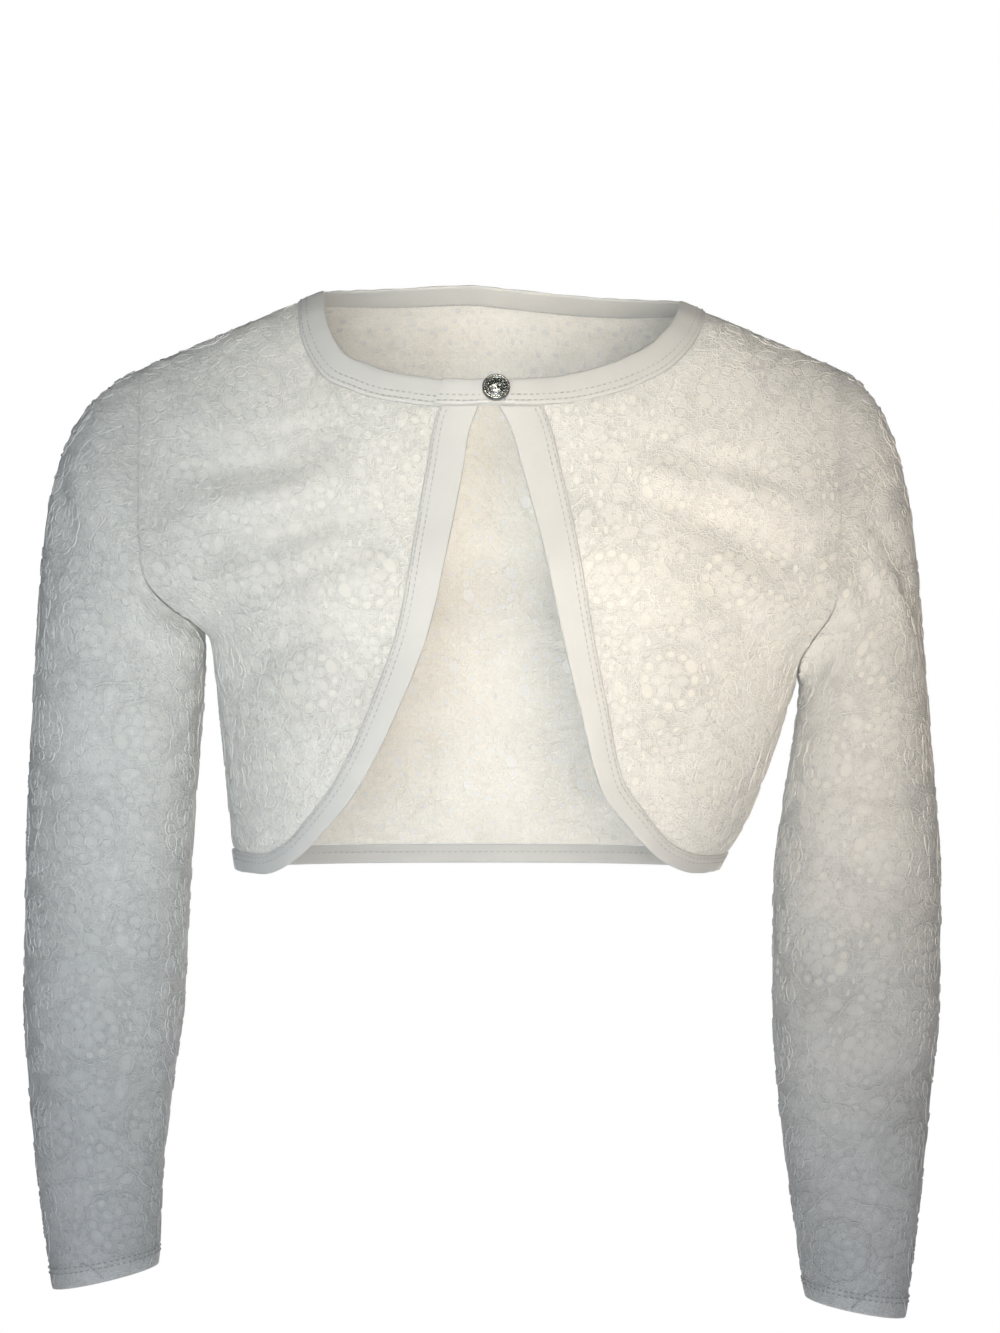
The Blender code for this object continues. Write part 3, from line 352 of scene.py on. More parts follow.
def inside(points: Points, outline: Points) -> Points:
    """Return whether each point lies inside a closed outline."""
    x, y = points[:, 0:1], points[:, 1:2]
    x0, y0 = outline[:, 0], outline[:, 1]
    x1, y1 = np.roll(x0, -1), np.roll(y0, -1)
    rise = np.where(np.abs(y1 - y0) < 1e-9, 1e-9, y1 - y0)
    crossing = x0 + (y - y0) * (x1 - x0) / rise
    return (((y0 > y) != (y1 > y)) & (x < crossing)).sum(axis=1) % 2 == 1


def distance_to(points: Points, outline: Points) -> Points:
    """Return each point's distance to a closed outline."""
    run = np.roll(outline, -1, axis=0) - outline
    square = np.maximum(np.sum(run * run, axis=1), 1e-9)
    nearest = np.empty(len(points))
    for first in range(0, len(points), 2000):
        toward = points[first:first + 2000, None] - outline[None]
        share = np.clip(np.sum(toward * run, axis=2) / square, 0.0, 1.0)
        away = np.linalg.norm(toward - run * share[..., None], axis=2)
        nearest[first:first + 2000] = away.min(axis=1)
    return nearest


def turned_area(outline: Points) -> float:
    """Return the area inside a closed outline, less than 0 where it runs clockwise."""
    ahead = np.roll(outline, -1, axis=0)
    return float(np.sum(outline[:, 0] * ahead[:, 1] - ahead[:, 0] * outline[:, 1])) / 2.0


def anticlockwise(outline: Points) -> Points:
    """Return the outline in anticlockwise order."""
    return outline if turned_area(outline) > 0.0 else outline[::-1]


def staggered(outline: Points, across: float, up: float) -> Points:
    """Return points in staggered rows over an outline, in step with the flat pattern's own zero."""
    size = np.array([across, up])
    first = np.floor(outline.min(axis=0) / size).astype(int) - 1
    last = np.ceil(outline.max(axis=0) / size).astype(int) + 1
    return np.array([((step + 0.5 * (row % 2)) * across, row * up)
                     for row in range(first[1], last[1] + 1) for step in range(first[0], last[0] + 1)])


def ring_faces(rows: int, ring: int, first: int = 0, joined: bool = False) -> Faces:
    """Return the four-sided faces between rings of points.

    Args:
        rows: How many gaps between rings are filled.
        ring: How many points a ring has.
        first: Number of the first point.
        joined: Whether the last gap is filled back to the first ring.

    Returns:
        The faces.
    """
    faces = []
    for row in range(rows):
        here = first + row * ring
        there = first + (row + 1) % rows * ring if joined else here + ring
        for k in range(ring):
            ahead = (k + 1) % ring
            faces.append((here + k, here + ahead, there + ahead, there + k))
    return faces


def tree_of(points: Points) -> KDTree:
    """Return a tree that finds the nearest of some flat points."""
    tree = KDTree(len(points))
    for index, point in enumerate(points):
        tree.insert((point[0], point[1], 0.0), index)
    tree.balance()
    return tree


def distance_in(tree: KDTree, point: Points) -> float:
    """Return the distance from a flat point to the nearest point of a tree."""
    return tree.find((point[0], point[1], 0.0))[2]


def chance(point: Points, salt: float) -> float:
    """Return a number from 0 to 1 that depends on a place alone, the same on every run."""
    across, up, other = CHANCE_MIX
    value = math.sin(point[0] * across + point[1] * up + salt * other) * CHANCE_SPREAD
    return value - math.floor(value)


def pucker(flat: Points) -> Points:
    """Return the small unevenness of the lace, from about -1 to 1."""
    x, y = flat[:, 0], flat[:, 1]
    wide = np.sin(0.21 * x + 1.7 * np.sin(0.13 * y)) * np.sin(0.25 * y + 1.3 * np.sin(0.11 * x + 2.0))
    fine = np.sin(0.83 * x + 0.7 * np.sin(0.4 * y)) * np.sin(0.71 * y + 0.9)
    return 0.65 * wide + 0.35 * fine


def fold_depth(piece: str, flat: Points) -> Points:
    """Return how deep the folds press a piece in at points of its flat pattern."""
    depth = np.zeros(len(flat))
    for fold in FOLDS.get(piece, ()):
        angle = math.radians(fold.angle)
        toward = flat - [fold.across, fold.up]
        along = toward[:, 0] * math.cos(angle) + toward[:, 1] * math.sin(angle)
        beside = toward[:, 1] * math.cos(angle) - toward[:, 0] * math.sin(angle)
        low, high = FOLD_FULL_SHARE * fold.length, FOLD_END_SHARE * fold.length
        reach = 1.0 - smoothstep(np.abs(along), low, high)
        depth += fold.depth * reach * np.exp(-(beside / fold.width) ** 2)
    return FOLD_STRENGTH * depth


def normals_at(place: Chart, flat: Points, outward: int) -> Points:
    """Return the outward normals of a surface at points of its flat pattern."""
    step = 0.75
    across = place(flat + [step, 0.0]) - place(flat - [step, 0.0])
    up = place(flat + [0.0, step]) - place(flat - [0.0, step])
    return unit(np.cross(across, up)) * outward


@dataclass
class Torso:
    """Front and back of the garment as one smooth surface over both shoulders.

    A column is a line of cloth from the front hem over the shoulder to the back hem, named by its
    distance round the front from the centre line. Flat patterns use the column and up, the
    distance above the chest line.
    """

    chest_line: float = -130.0
    lowest: float = -300.0
    highest: float = 60.0
    level_step: float = 2.5
    widest: float = 236.0
    longest: float = 340.0
    step: float = 2.0
    samples: int = 240
    shoulder_level: float = -80.0

    def __post_init__(self) -> None:
        """Fill the grid of points that the surface is read from."""
        self.columns = np.arange(-self.widest, self.widest + 0.1, self.step)
        self.along = np.arange(-self.longest, self.longest + 0.1, self.step)
        self.levels = np.arange(self.lowest, self.highest + 1.0, self.level_step)
        front, chest_front = self._half(-1, "depth_front", FRONT_FALL, FRONT_ROUND)
        back, chest_back = self._half(1, "depth_back", BACK_FALL, BACK_ROUND)
        self.to_chest = {-1: chest_front, 1: chest_back}
        self.grid = np.empty((len(self.columns), len(self.along), 3))
        for i, (ahead, behind) in enumerate(zip(front, back)):
            points = np.concatenate((ahead[0][::-1], behind[0][1:]))
            distances = np.concatenate((-ahead[1][::-1], behind[1][1:]))
            self.grid[i] = read_rows(self.along, distances, points)

    def _sections(self, depth_name: str) -> tuple[Points, Points]:
        """Return x and depth of each column at each level."""
        zs = [row.z for row in TORSO_SECTIONS]
        angles = np.linspace(0.0, 0.8 * math.pi, 1200)
        xs = np.empty((len(self.levels), len(self.columns)))
        ys = np.empty_like(xs)
        left = self.columns >= 0
        for i, z in enumerate(self.levels):
            power = 2.0 / spline(z, zs, [row.squareness for row in TORSO_SECTIONS])
            depth = spline(z, zs, [getattr(row, depth_name) for row in TORSO_SECTIONS])
            for sign, name, own in ((1, "reach_left", left), (-1, "reach_right", ~left)):
                reach = spline(z, zs, [getattr(row, name) for row in TORSO_SECTIONS])
                x = reach * np.sin(angles) ** power
                y = depth * np.sign(np.cos(angles)) * np.abs(np.cos(angles)) ** power
                round_it = lengths_along(np.stack((x, y), axis=1))
                xs[i, own] = sign * np.interp(np.abs(self.columns[own]), round_it, x)
                ys[i, own] = np.interp(np.abs(self.columns[own]), round_it, y)
        return xs, ys

    def _half(self, facing: int, depth_name: str, fall: float, roundness: float) -> tuple[list, Points]:
        """Return the points and distances down each column, and how far down the chest line is."""
        xs, ys = self._sections(depth_name)
        found, to_chest = [], []
        for i in range(len(self.columns)):
            x_high = np.interp(self.shoulder_level, self.levels, xs[:, i])
            top = CREST_HEIGHT - CREST_SLOPE * math.hypot(x_high, CREST_EASE)
            below = (top - self.lowest) * np.linspace(0.0, 1.0, self.samples) ** 2
            share = np.sqrt(1.0 - (1.0 - np.clip(below / fall, 0.0, 1.0)) ** roundness)
            z = top - below
            depth = facing * np.interp(z, self.levels, ys[:, i]) * share
            points = np.stack((np.interp(z, self.levels, xs[:, i]), depth, z), axis=1)
            distances = lengths_along(points)
            found.append((points, distances))
            to_chest.append(np.interp(-self.chest_line, -z, distances))
        return found, np.array(to_chest)

    def at(self, column: Points, w: Points) -> Points:
        """Return points by column and distance from the crest, less than 0 in front."""
        u = np.clip((column - self.columns[0]) / self.step, 0, len(self.columns) - 1.001)
        v = np.clip((w - self.along[0]) / self.step, 0, len(self.along) - 1.001)
        return read_grid(self.grid, u, v)

    def crest_up(self, column: Points, facing: int) -> Points:
        """Return how far above the chest line the crest lies on a column."""
        return np.interp(column, self.columns, self.to_chest[facing])

    def place(self, flat: Points, facing: int) -> Points:
        """Return points of a flat pattern put on the front, -1, or the back, 1."""
        flat = np.asarray(flat, dtype=float)
        column, up = flat[..., 0], flat[..., 1]
        return self.at(column, facing * (self.crest_up(column, facing) - up))

    def chart(self, facing: int) -> Chart:
        """Return the function that puts flat points on one side."""
        return partial(self.place, facing=facing)

    def flat_from_w(self, column: Points, w: Points, facing: int) -> Points:
        """Return flat places by column and distance from the crest."""
        return np.stack((column, self.crest_up(column, facing) - np.abs(w)), axis=-1)

    def flat_from_view(self, x: Points, z: Points, facing: int) -> Points:
        """Return the flat places of points given by their x and z."""
        target = np.stack((np.asarray(x, float), np.asarray(z, float)), axis=-1)
        flat = target - [0.0, self.chest_line]
        for _ in range(30):
            here = self.place(flat, facing)[..., [0, 2]]
            over = self.place(flat + [1.0, 0.0], facing)[..., [0, 2]] - here
            up = self.place(flat + [0.0, 1.0], facing)[..., [0, 2]] - here
            miss = target - here
            turn = over[..., 0] * up[..., 1] - over[..., 1] * up[..., 0]
            turn = np.where(np.abs(turn) < 0.05, 0.05, turn)
            step = np.stack((miss[..., 0] * up[..., 1] - miss[..., 1] * up[..., 0],
                             over[..., 0] * miss[..., 1] - over[..., 1] * miss[..., 0]), axis=-1)
            flat = flat + np.clip(step / turn[..., None], -6.0, 6.0)
        return flat

    def side_column(self, z: float, side: int, facing: int) -> Points:
        """Return the flat place of the side seam at a height."""
        columns = side * np.arange(80.0, 236.0, 1.0)
        ups = self.up_at_height(columns, z, facing)
        depth = facing * self.place(np.stack((columns, ups), axis=-1), facing)[:, 1]
        crossing = int(np.argmax(depth <= 0.0)) if (depth <= 0.0).any() else len(columns) - 1
        share = depth[crossing - 1] / max(depth[crossing - 1] - depth[crossing], 1e-9)
        column = columns[crossing - 1] + side * share
        return np.array([column, np.interp(share, [0, 1], ups[crossing - 1:crossing + 1])])

    def up_at_height(self, column: Points, z: float, facing: int) -> Points:
        """Return how far up the flat pattern each column reaches a height."""
        column = np.asarray(column, dtype=float)
        up = np.full(column.shape, float(z)) - self.chest_line
        for _ in range(14):
            up = up + (z - self.place(np.stack((column, up), axis=-1), facing)[..., 2])
        return up

    def armhole(self, side: int, facing: int, shares: Points) -> Points:
        """Return flat places along the armhole seam, by share of it from the crest down."""
        name = "front_column" if facing < 0 else "back_column"
        columns = side * np.array([getattr(row, name) for row in ARMHOLE])
        tops = self.crest_up(columns, facing)
        underarm = self.side_column(UNDERARM_LEVEL[side], side, facing)
        ups = tops + (underarm[1] - tops) * np.array([row.down for row in ARMHOLE])
        points = np.concatenate((np.stack((columns, ups), axis=1), underarm[None]))
        along = lengths_along(points)
        fine = np.linspace(0.0, along[-1], 200)
        run = np.stack([spline(fine, along, points[:, k]) for k in range(2)], axis=1)
        distance = lengths_along(self.place(run, facing))
        target = np.asarray(shares) * distance[-1]
        return read_rows(target, distance, run)


def read_grid(grid: Points, u: Points, v: Points) -> Points:
    """Return the points of a grid at rows u and columns v, between its own points."""
    i = u.astype(int)
    j = v.astype(int)
    s = (u - i)[..., None]
    t = (v - j)[..., None]
    low = grid[i, j] * (1 - s) + grid[i + 1, j] * s
    high = grid[i, j + 1] * (1 - s) + grid[i + 1, j + 1] * s
    return low * (1 - t) + high * t


@dataclass
class Sleeve:
    """One sleeve as a tube, from the armhole seam down to the cuff.

    The flat pattern uses the distance round the tube from its outer line, more than 0 in front,
    and up, the distance above the underarm ring.
    """

    torso: Torso
    side: int
    cap_steps: int = 28
    ring_steps: int = 90
    angle_step: float = 2.5

    def __post_init__(self) -> None:
        """Fill the rings of the tube and the lines of its cap."""
        self.angles = np.linspace(-180.0, 180.0, round(360.0 / self.angle_step) + 1)
        rows = SLEEVES[self.side]
        values = {name: [getattr(row, name) for row in rows] for name in SleeveRing._fields}
        middle = np.stack([(np.array(values["outer_x"]) + values["inner_x"]) / 2,
                           (np.array(values["outer_z"]) + values["inner_z"]) / 2], axis=1)
        down = lengths_along(middle)
        self.length = float(down[-1])
        self.downs = np.linspace(0.0, self.length, self.ring_steps)
        rings, girths = [], []
        for distance in self.downs:
            points, girth = self._ring({name: spline(distance, down, values[name]) for name in values})
            rings.append(points)
            girths.append(girth)
        self.radii = np.array(girths) / (2.0 * math.pi)
        self.rings = np.array(rings)
        self._build_cap()

    def _ring(self, ring: dict[str, float]) -> tuple[Points, float]:
        """Return the points round one ring at even shares of its girth, and the girth."""
        turn = np.radians(np.linspace(0.0, 180.0, 361))
        power = 2.0 / SLEEVE_SQUARENESS
        cos = np.sign(np.cos(turn)) * np.abs(np.cos(turn)) ** power
        sin = np.abs(np.sin(turn)) ** power
        outer = np.array([ring["outer_x"], 0.0, ring["outer_z"]])
        inner = np.array([ring["inner_x"], 0.0, ring["inner_z"]])
        points = np.empty((len(self.angles), 3))
        girth = 0.0
        for facing, depth in ((-1, ring["depth_front"]), (1, ring["depth_back"])):
            loop = (outer + inner) / 2 + cos[:, None] * (outer - inner) / 2
            loop = loop + sin[:, None] * np.array([0.0, facing * depth, 0.0])
            along = lengths_along(loop)
            girth += along[-1]
            own = self.angles >= 0 if facing < 0 else self.angles < 0
            share = np.abs(self.angles[own]) / 180.0 * along[-1]
            points[own] = read_rows(share, along, loop)
        points[:, 0] *= self.side
        return points, float(girth)

    def _build_cap(self) -> None:
        """Fill the lines of cloth from the armhole seam to the underarm ring."""
        torso, side = self.torso, self.side
        seam = np.empty((len(self.angles), 3))
        away = np.empty_like(seam)
        for facing in (-1, 1):
            own = self.angles >= 0 if facing < 0 else self.angles < 0
            flat = torso.armhole(side, facing, np.abs(self.angles[own]) / 180.0)
            seam[own] = torso.place(flat, facing)
            ahead = torso.place(flat + [side * 1.0, 0.0], facing) - seam[own]
            above = torso.place(flat + [0.0, 1.0], facing) - seam[own]
            order = np.argsort(np.abs(self.angles[own]))
            run = np.empty_like(ahead)
            run[order] = np.gradient(seam[own][order], axis=0)
            across = unit(np.cross(unit(np.cross(ahead, above)), run))
            away[own] = across * np.sign(np.sum(across * ahead, axis=1, keepdims=True))
        ring = self.rings[0]
        downward = unit(self.rings[3] - ring)
        turned = smoothstep(np.abs(self.angles), 80.0, 150.0)[:, None]
        away = unit(away * (1 - turned) + downward * turned)
        reach = CAP_FULLNESS[side] * np.linalg.norm(ring - seam, axis=1, keepdims=True)
        lines = []
        for t in np.linspace(0.0, 1.0, self.cap_steps):
            rise = (3 - 2 * t) * t * t
            lean = ((t - 2) * t + 1) * t * away + (t - 1) * t * t * downward
            lines.append((1 - rise) * seam + rise * ring + reach * lean)
        lines = np.array(lines)
        self.cap_lengths = np.linalg.norm(np.diff(lines, axis=0), axis=2).sum(axis=0)
        self.cap = np.empty_like(lines)
        shares = np.linspace(0.0, 1.0, self.cap_steps)
        for i in range(len(self.angles)):
            along = lengths_along(lines[:, i])
            self.cap[:, i] = read_rows(shares * along[-1], along, lines[:, i])

    def radius(self, up: Points | float) -> Points:
        """Return the sleeve's girth over two pi at a height of the flat pattern."""
        return np.interp(-np.asarray(up, dtype=float), self.downs, self.radii)

    def cap_top(self, angle: Points | float) -> Points:
        """Return how far above the underarm ring the armhole seam lies."""
        return np.interp(angle, self.angles, self.cap_lengths)

    def place(self, flat: Points) -> Points:
        """Return points of the flat pattern put on the tube."""
        flat = np.asarray(flat, dtype=float)
        around, up = flat[..., 0], flat[..., 1]
        angle = (np.degrees(around / self.radius(np.minimum(up, 0.0))) + 180.0) % 360.0 - 180.0
        u = np.clip((angle + 180.0) / self.angle_step, 0, len(self.angles) - 1.001)
        ring_row = np.clip(-up / self.length * (self.ring_steps - 1), 0, self.ring_steps - 1.001)
        share = 1.0 - np.clip(up / self.cap_top(angle), 0.0, 1.0)
        cap_row = np.clip(share * (self.cap_steps - 1), 0, self.cap_steps - 1.001)
        low = read_grid(self.rings, ring_row, u)
        high = read_grid(self.cap, cap_row, u)
        return np.where((up > 0.0)[..., None], high, low)


@dataclass
class Pattern:
    """The flat outlines of every piece."""

    neck_stations: int = 45
    armhole_stations: int = 45
    side_stations: int = 21
    edge_spacing: float = 5.0

    def __post_init__(self) -> None:
        """Make the surfaces and the free edges of the fronts."""
        self.torso = Torso()
        self.sleeves = {side: Sleeve(self.torso, side) for side in (-1, 1)}
        self.edges = {side: self._free_edge(side) for side in (-1, 1)}

    def neck_loop(self, angle: Points) -> Points:
        """Return column and w on the neckline; angle 0 is the left crest."""
        cos, sin = np.cos(angle), np.sin(angle)
        front = sin < 0.0
        power = 2.0 / np.where(front, NECK_SQUARENESS[-1], NECK_SQUARENESS[1])
        drop = np.where(front, NECK_DROP[-1], NECK_DROP[1])
        column = NECK_CENTRE + NECK_HALF_WIDTH * np.sign(cos) * np.abs(cos) ** power
        turns, sags = zip(*NECK_SAG)
        front_turn = (np.degrees(angle) + 180.0) % 360.0 - 180.0
        sag = np.where(front, spline(front_turn, turns, sags), 0.0)
        return np.stack((column, drop * np.sign(sin) * np.abs(sin) ** power - sag), axis=-1)

    def neck_line(self, turn: Points, offset: Points | float) -> Points:
        """Return column and w on the neckline, moved out by an offset."""
        turn = np.asarray(turn, dtype=float)
        run = unit(self.neck_loop(turn + 0.02) - self.neck_loop(turn - 0.02))
        out = np.stack((run[..., 1], -run[..., 0]), axis=-1)
        return self.neck_loop(turn) + out * np.asarray(offset)[..., None]

    def neck_flat(self, turn: Points, offset: float, facing: int) -> Points:
        """Return flat places on the moved neckline."""
        line = self.neck_line(turn, offset)
        return self.torso.flat_from_w(line[..., 0], line[..., 1], facing)

    def neck_turn_at(self, column: float, offset: float, facing: int) -> float:
        """Return the turn at which the moved neckline meets a column."""
        turns = np.linspace(0.0, math.pi, 721) * facing
        columns = self.neck_line(turns, offset)[:, 0]
        order = np.argsort(columns)
        return float(np.interp(column, columns[order], turns[order]))

    def _free_edge(self, side: int) -> Points:
        """Return flat places and band widths from the neck binding round to the side seam."""
        rows = FRONT_EDGES[side]
        flat = self.torso.flat_from_view([row.x for row in rows], [row.z for row in rows], -1)
        seam = self.torso.side_column(HEM_LEVEL, side, -1)
        columns = np.linspace(flat[-1, 0], seam[0], 6)[1:]
        hem = np.stack((columns, self.torso.up_at_height(columns, HEM_LEVEL, -1)), axis=1)
        points = np.concatenate((flat, hem))
        widths = np.concatenate(([row.band for row in rows], np.full(len(hem), HEM_BAND_WIDTH)))
        along = lengths_along(points)
        fine = np.linspace(0.0, along[-1], 300)
        values = (points[:, 0], points[:, 1], widths)
        return np.stack([spline(fine, along, value) for value in values], axis=1)

    def edge_length(self, side: int) -> float:
        """Return the length of a front's free edge."""
        return float(lengths_along(self.edges[side][:, :2])[-1])

    def edge_offset(self, side: int, distance: Points, share: Points) -> Points:
        """Return flat places beside a free edge, at a share of the band's width in from it."""
        edge = self.edges[side]
        along = lengths_along(edge[:, :2])
        point = read_rows(distance, along, edge)
        near = np.stack((np.asarray(distance) - 2.0, np.asarray(distance) + 2.0))
        behind, ahead = read_rows(near, along, edge[:, :2])
        run = unit(ahead - behind)
        inward = side * np.stack((-run[..., 1], run[..., 0]), axis=-1)
        return point[..., :2] + inward * point[..., 2:3] * np.asarray(share)[..., None]

    def band_seam(self, side: int, gap: float) -> Points:
        """Return where lace meets the band of a front, from the neck to the side seam."""
        length = self.edge_length(side)
        stations = np.linspace(0.0, length, int(length / self.edge_spacing))
        seam = self.edge_offset(side, stations, np.ones(len(stations)))
        toward = self.edge_offset(side, stations, np.full(len(stations), 1.2)) - seam
        seam = seam + unit(toward) * gap
        offset = NECK_BINDING_WIDTH + SEAM_GAP
        turn = self.neck_turn_at(seam[0, 0], offset, -1)
        start = self.neck_flat(turn, offset, -1)
        seam = np.concatenate((start[None], seam[seam[:, 1] < start[1] - 2.0]))
        seam[-1] = self.side_point(side, -1, HEM_LEVEL, HEM_BAND_WIDTH + gap)
        return seam

    def side_point(self, side: int, facing: int, z: float, above: float = 0.0) -> Points:
        """Return the point on the side seam at a height, just short of the seam."""
        here = self.torso.side_column(z, side, facing)
        higher = self.torso.side_column(z + 4.0, side, facing)
        return here + unit(higher - here) * above - [side * SEAM_GAP / 2, 0.0]

    def side_seam(self, side: int, facing: int, low: Points) -> Points:
        """Return the side seam from the underarm down to the band."""
        levels = np.linspace(UNDERARM_LEVEL[side], HEM_LEVEL, self.side_stations)[1:-1]
        points = np.array([self.side_point(side, facing, z) for z in levels])
        return points[points[:, 1] > low[1] + 2.0]

    def crest_turn(self, side: int, facing: int) -> float:
        """Return the turn at which the neck seam comes to the shoulder seam."""
        small = math.asin((SEAM_GAP / 2 / NECK_DROP[facing]) ** (NECK_SQUARENESS[facing] / 2))
        return facing * small if side > 0 else facing * (math.pi - small)

    def shoulder(self, side: int, facing: int, neck_column: float) -> Points:
        """Return the shoulder seam from the neck out to the armhole."""
        end = self.torso.armhole(side, facing, [0.0])[0, 0]
        columns = np.linspace(neck_column, end, 16)
        return self.torso.flat_from_w(columns, np.full(16, SEAM_GAP / 2), facing)

    def armhole(self, side: int, facing: int) -> Points:
        """Return the armhole seam from the crest to the underarm."""
        flat = self.torso.armhole(side, facing, np.linspace(0.0, 1.0, self.armhole_stations))
        run = unit(np.gradient(flat, axis=0))
        inward = np.stack((-run[:, 1], run[:, 0]), axis=1)
        inward *= np.where(inward[:, :1] * side < 0.0, 1.0, -1.0)
        flat = flat + inward * SEAM_GAP / 2
        flat[0, 1] -= SEAM_GAP / 2
        return flat

    def front(self, side: int) -> Points:
        """Return the outline of a front's lace."""
        seam = self.band_seam(side, SEAM_GAP)
        offset = NECK_BINDING_WIDTH + SEAM_GAP
        turn = self.neck_turn_at(seam[0, 0], offset, -1)
        turns = np.linspace(turn, self.crest_turn(side, -1), self.neck_stations)
        neck = self.neck_flat(turns, offset, -1)
        shoulder = self.shoulder(side, -1, neck[-1, 0])[1:-1]
        sides = self.side_seam(side, -1, seam[-1])
        return np.concatenate((seam[::-1][:-1], neck, shoulder, self.armhole(side, -1), sides))

    def back_columns(self) -> Points:
        """Return the columns along the back hem, from side seam to side seam."""
        ends = [self.side_point(side, 1, HEM_LEVEL)[0] for side in (-1, 1)]
        return np.linspace(ends[0], ends[1], 61)

    def back(self) -> Points:
        """Return the outline of the back's lace."""
        runs = []
        for side in (1, -1):
            turns = np.linspace(math.pi / 2, self.crest_turn(side, 1), self.neck_stations)
            neck = self.neck_flat(turns, NECK_BINDING_WIDTH + SEAM_GAP, 1)
            shoulder = self.shoulder(side, 1, neck[-1, 0])[1:-1]
            low = self.side_point(side, 1, HEM_LEVEL, HEM_BAND_WIDTH + SEAM_GAP)
            sides = self.side_seam(side, 1, low)
            runs.append(np.concatenate((neck, shoulder, self.armhole(side, 1), sides, low[None])))
        columns = self.back_columns()
        ups = self.torso.up_at_height(columns, HEM_LEVEL, 1) + HEM_BAND_WIDTH + SEAM_GAP
        hem = np.stack((columns, ups), axis=1)
        return np.concatenate((runs[1][:0:-1], runs[0], hem[::-1][1:-1]))

    def sleeve_half(self, side: int, facing: int) -> Points:
        """Return the outline of one half of a sleeve."""
        sleeve = self.sleeves[side]
        half_gap = SEAM_GAP / 2
        angles = np.linspace(0.0, 180.0, self.armhole_stations)
        tops = sleeve.cap_top(-facing * angles) - half_gap
        widest = math.pi * sleeve.radii[0]
        reach = np.clip(angles / 180.0 * widest, half_gap, widest - half_gap)
        cap = np.stack((reach, tops), axis=1)
        ups = np.linspace(0.0, -sleeve.length, 60)
        under = np.stack((math.pi * sleeve.radius(ups) - half_gap, ups), axis=1)
        cuff_reach = np.linspace(under[-1, 0], half_gap, 24)[1:-1]
        cuff = np.stack((cuff_reach, np.full(22, -sleeve.length)), axis=1)
        outer_ups = np.linspace(-sleeve.length, sleeve.cap_top(0.0), 80)[:-1]
        outer = np.stack((np.zeros(79), outer_ups), axis=1)
        outline = np.concatenate((cap, under[1:], cuff, outer))
        outline[:, 0] *= -facing
        return outline


@dataclass
class Patch:
    """A closed outline in the lace, its filling, and how far its rim and its middle stand out."""

    loop: Points
    kind: Kind
    middle: Points
    rim_rise: float
    middle_rise: float


def oval(centre: Points, angle: float, half_length: float, half_width: float, count: int) -> Points:
    """Return a closed oval whose length lies at an angle."""
    turns = np.arange(count) * 2.0 * math.pi / count
    along = polar(angle, 1.0)
    across = np.array([-along[1], along[0]])
    ahead = np.outer(np.cos(turns) * half_length, along)
    return centre + ahead + np.outer(np.sin(turns) * half_width, across)


def leaf(root: Points, angle: float, length: float, half_width: float, count: int) -> Points:
    """Return a closed pointed leaf that grows from its root at an angle."""
    shares = np.linspace(0.0, 1.0, count)
    widths = half_width * np.sin(math.pi * shares ** 0.85) ** 0.8
    along = polar(angle, 1.0)
    across = np.array([-along[1], along[0]])
    spine = root + np.outer(shares * length, along)
    near = spine + np.outer(widths, across)
    far = spine - np.outer(widths, across)
    return np.concatenate((far, near[-2:0:-1]))


def closed(loop: Points) -> Points:
    """Return the loop with its first point again at its end."""
    return np.concatenate((loop, loop[:1]))


class Motif(NamedTuple):
    """Sizes of an oval in the lace: half its length and width, its relief and the cord round it."""

    kind: Kind
    half_length: float
    half_width: float
    points: int
    room: tuple[float, float]
    cord_points: int
    rim_rise: float
    middle_rise: float


LARGE_EYELET = Motif(Kind.NET, 3.2, 2.4, 14, (0.4, 0.4), 16, 0.1, -0.3)
EYELET = Motif(Kind.NET, 1.75, 1.5, 8, (0.5, 0.5), 9, 0.1, -0.35)
BLOSSOM_EYELET = Motif(Kind.NET, 1.5, 1.35, 8, (0.45, 0.45), 9, 0.05, -0.35)
FLOWER_EYE = Motif(Kind.PETAL, 1.1, 1.1, 6, (0.5, 0.5), 8, 0.2, 0.8)
BLOSSOM_PETAL = Motif(Kind.PETAL, 1.7, 1.45, 8, (0.35, 0.35), 10, 0.1, 0.6)
FLOWER_PETALS = {
    5: Motif(Kind.PETAL, 2.75, 2.2, 10, (0.35, 0.3), 12, 0.1, 0.75),
    6: Motif(Kind.PETAL, 2.75, 1.85, 10, (0.35, 0.3), 12, 0.1, 0.75),
}


@dataclass
class LaceDesign:
    """Sizes of the lace's repeat: a flower in each cell, and vines on a honeycomb round it."""

    pitch: float = 54.0
    row_height: float = 45.0
    beyond: float = 40.0
    edge_room: float = 1.2
    cord_edge_room: float = 0.7
    eyelets: int = 12
    eyelet_reach: float = 11.5
    large_angles: tuple[float, float] = (32.0, 205.0)
    large_margin: float = 5.5
    uncorded_share: float = 0.12
    petal_reach: float = 5.5
    five_petal_share: float = 0.35
    scallop_reach: float = 14.1
    scallop_swell: float = 1.5
    blossom_wander: float = 1.8
    blossom_petals: int = 5
    blossom_petal_reach: float = 3.3
    blossom_eyelet_reach: float = 7.0
    blossom_bare_share: float = 0.25
    vine_bend: float = 2.6
    vine_ends: tuple[float, float] = (0.17, 0.83)
    leaf_lean: float = 0.75
    leaf_stalk: float = 1.6
    leaf_length: float = 7.6
    leaf_half_width: float = 2.1
    slot_spacing: tuple[float, float] = (4.3, 5.6)
    slot_half_width: float = 0.85
    slot_half_length: float = 1.8
    slot_room: float = 0.95
    least_drift: float = -0.45


